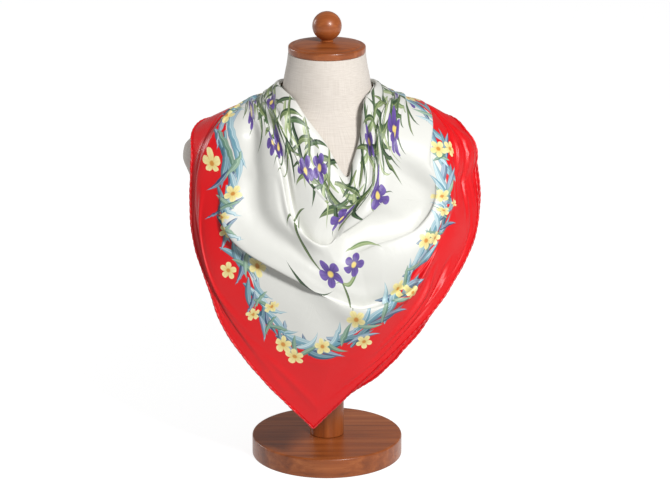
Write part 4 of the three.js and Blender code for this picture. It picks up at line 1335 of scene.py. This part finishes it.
# %% The knot
TIE = {"x": 0.45, "y": 94.5, "z": 499}
BUNDLE = {"half": 18, "deep": 8.4, "tall": 15.4, "waist": 0.24, "pleats": 7, "pleat": 0.075, "twist": 3}
WRAP = {"deep": 8.7, "tall": 15.6, "wide": 8.6, "thick": 2.0, "lean": 3.2, "ridge": 0.35}


def bundle_rings():
    along = np.linspace(-1, 1, 61)[:, None]
    around = angles_round(72)[None]
    girth = (1 - BUNDLE["waist"] * np.exp(-(along / 0.35) ** 2)) * np.sqrt(np.maximum(1 - along ** 6, 0.02))
    girth = girth * (1 + BUNDLE["pleat"] * np.cos(BUNDLE["pleats"] * around + BUNDLE["twist"] * along))
    return np.stack([TIE["x"] + BUNDLE["half"] * along + 0 * around,
                     TIE["y"] + BUNDLE["deep"] * girth * np.cos(around),
                     TIE["z"] + BUNDLE["tall"] * girth * np.sin(around)], -1)


def wrap_rings():
    """A band of silk round the bundle. Each ring is a flat oval with three ridges on its outside."""
    round_way, section = angles_round(96), angles_round(40)
    out = np.stack([0 * round_way, np.cos(round_way), np.sin(round_way)], -1)
    middle = np.stack([TIE["x"] + WRAP["lean"] * np.sin(round_way),
                       TIE["y"] + WRAP["deep"] * np.cos(round_way),
                       TIE["z"] + WRAP["tall"] * np.sin(round_way)], -1)
    side = np.cos(section) * WRAP["wide"]
    ridges = 1 + WRAP["ridge"] * np.cos(3 * math.pi * np.cos(section))
    height = np.sin(section) * WRAP["thick"] * ridges
    points = middle[:, None] + out[:, None] * height[None, :, None]
    points[..., 0] += side[None]
    return points


def closed_loop(name, rings, finish):
    rows, columns = rings.shape[:2]
    faces = grid_faces(rows, columns, ring=True)
    j = np.arange(columns)
    last, right = (rows - 1) * columns, (j + 1) % columns
    joint = np.stack([last + j, last + right, right, j], -1)
    return add_piece(name, rings.reshape(-1, 3), np.vstack([faces, joint]), finish)


bundle = closed_rings("knot_bundle", bundle_rings(), silk_red)
wrap = closed_loop("knot_wrap", wrap_rings(), silk_red)
for tied in (bundle, wrap):
    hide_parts("knot")
    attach(tied, "root")

# %% The tails
TAIL = {"length": 185, "tie": 7, "flare": 26, "open_at": 0.7, "tip": 0.8, "lean": 8, "spread": 46,
        "clear": 9.5, "over": 5, "pleat": 4.5, "pleats": 1.6, "offset": 0.35,
        "ease": 3, "settle": 30, "wall": 0.7}
TAIL_TOP = 484.4
TAIL_GRID = np.linspace(0, 1, 90)[:, None], np.linspace(-1, 1, 57)[None]
FINE_PLEAT = {"depth": 1.1, "count": 5.0}


def tail_points(side):
    along, across = TAIL_GRID
    down = along * TAIL["length"]
    opened = TAIL["tie"] + TAIL["flare"] * np.sin(math.pi / 2 * np.minimum(along / TAIL["open_at"], 1))
    half = np.minimum(opened, np.maximum(TAIL["length"] - down, TAIL["tip"]))
    x = side * (TAIL["lean"] + TAIL["spread"] * along) + across * half
    z = TAIL_TOP - down + 0 * across
    calm = np.minimum(1, TAIL["ease"] * (1 - along))
    pleat = TAIL["pleat"] * np.cos(math.pi * (TAIL["pleats"] * across + TAIL["offset"] * side)) * calm
    fine = FINE_PLEAT["depth"] * np.cos(math.pi * FINE_PLEAT["count"] * across + side)
    pleat = pleat + fine * calm * (1 - along)
    back, width = read_table(FORM, BACK, z), read_table(FORM, WIDTH, z)
    y = back * np.sqrt(1 - (x / width) ** 2) + TAIL["clear"] + (TAIL["over"] if side > 0 else 0) + pleat
    return np.stack([x, np.maximum(y, TIE["y"] - TAIL["settle"] * along), z], -1)


def tail_maps():
    """Each tail is a corner of the square, drawn together at the knot."""
    along, across = TAIL_GRID
    left = TAIL["length"] * (1 - along)
    one, other = left * (1 - across) / math.sqrt(2), left * (1 + across) / math.sqrt(2)
    return {"hem": garland_path(one < other, one, other, other, one),
            "neck": np.stack([one * MM, 0 * one + 0.5], -1)}


tails, tail_hems = [], []
for side, name in ((-1, "left"), (1, "right")):
    points = tail_points(side)
    tail = silk_wall("silk_tail_" + name, points, TAIL["wall"], silk_print, tail_maps())
    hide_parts("tail_" + name)
    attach(tail, "root")
    tails.append(tail)
    around_tail = np.concatenate([points[:, 0], points[::-1, -1]])
    tail_hems.append(make_hem("tail_hem_" + name, around_tail))

# %% [markdown]
# ## How much cloth each leaf has
# The square was cut 90 by 90 centimetres, and folding it gives two leaves of 0.405 square metres each. Of
# each leaf, the two tips are in the knot and the tails, and a strip is rolled up inside the neck band. Both
# amounts are estimates. What is left is the open drape. The under leaf has too little cloth for that: it
# lacks the small folds of real silk, and is 0.62 of its cut, where 0.7 is asked. A further 0.031 is taken
# off its stated area only so that it counts as enough.

for leaf in (outer_leaf, under_leaf):
    print(leaf.name, "area of one side:", round(sum(face.area for face in leaf.data.polygons) / 2, 3))
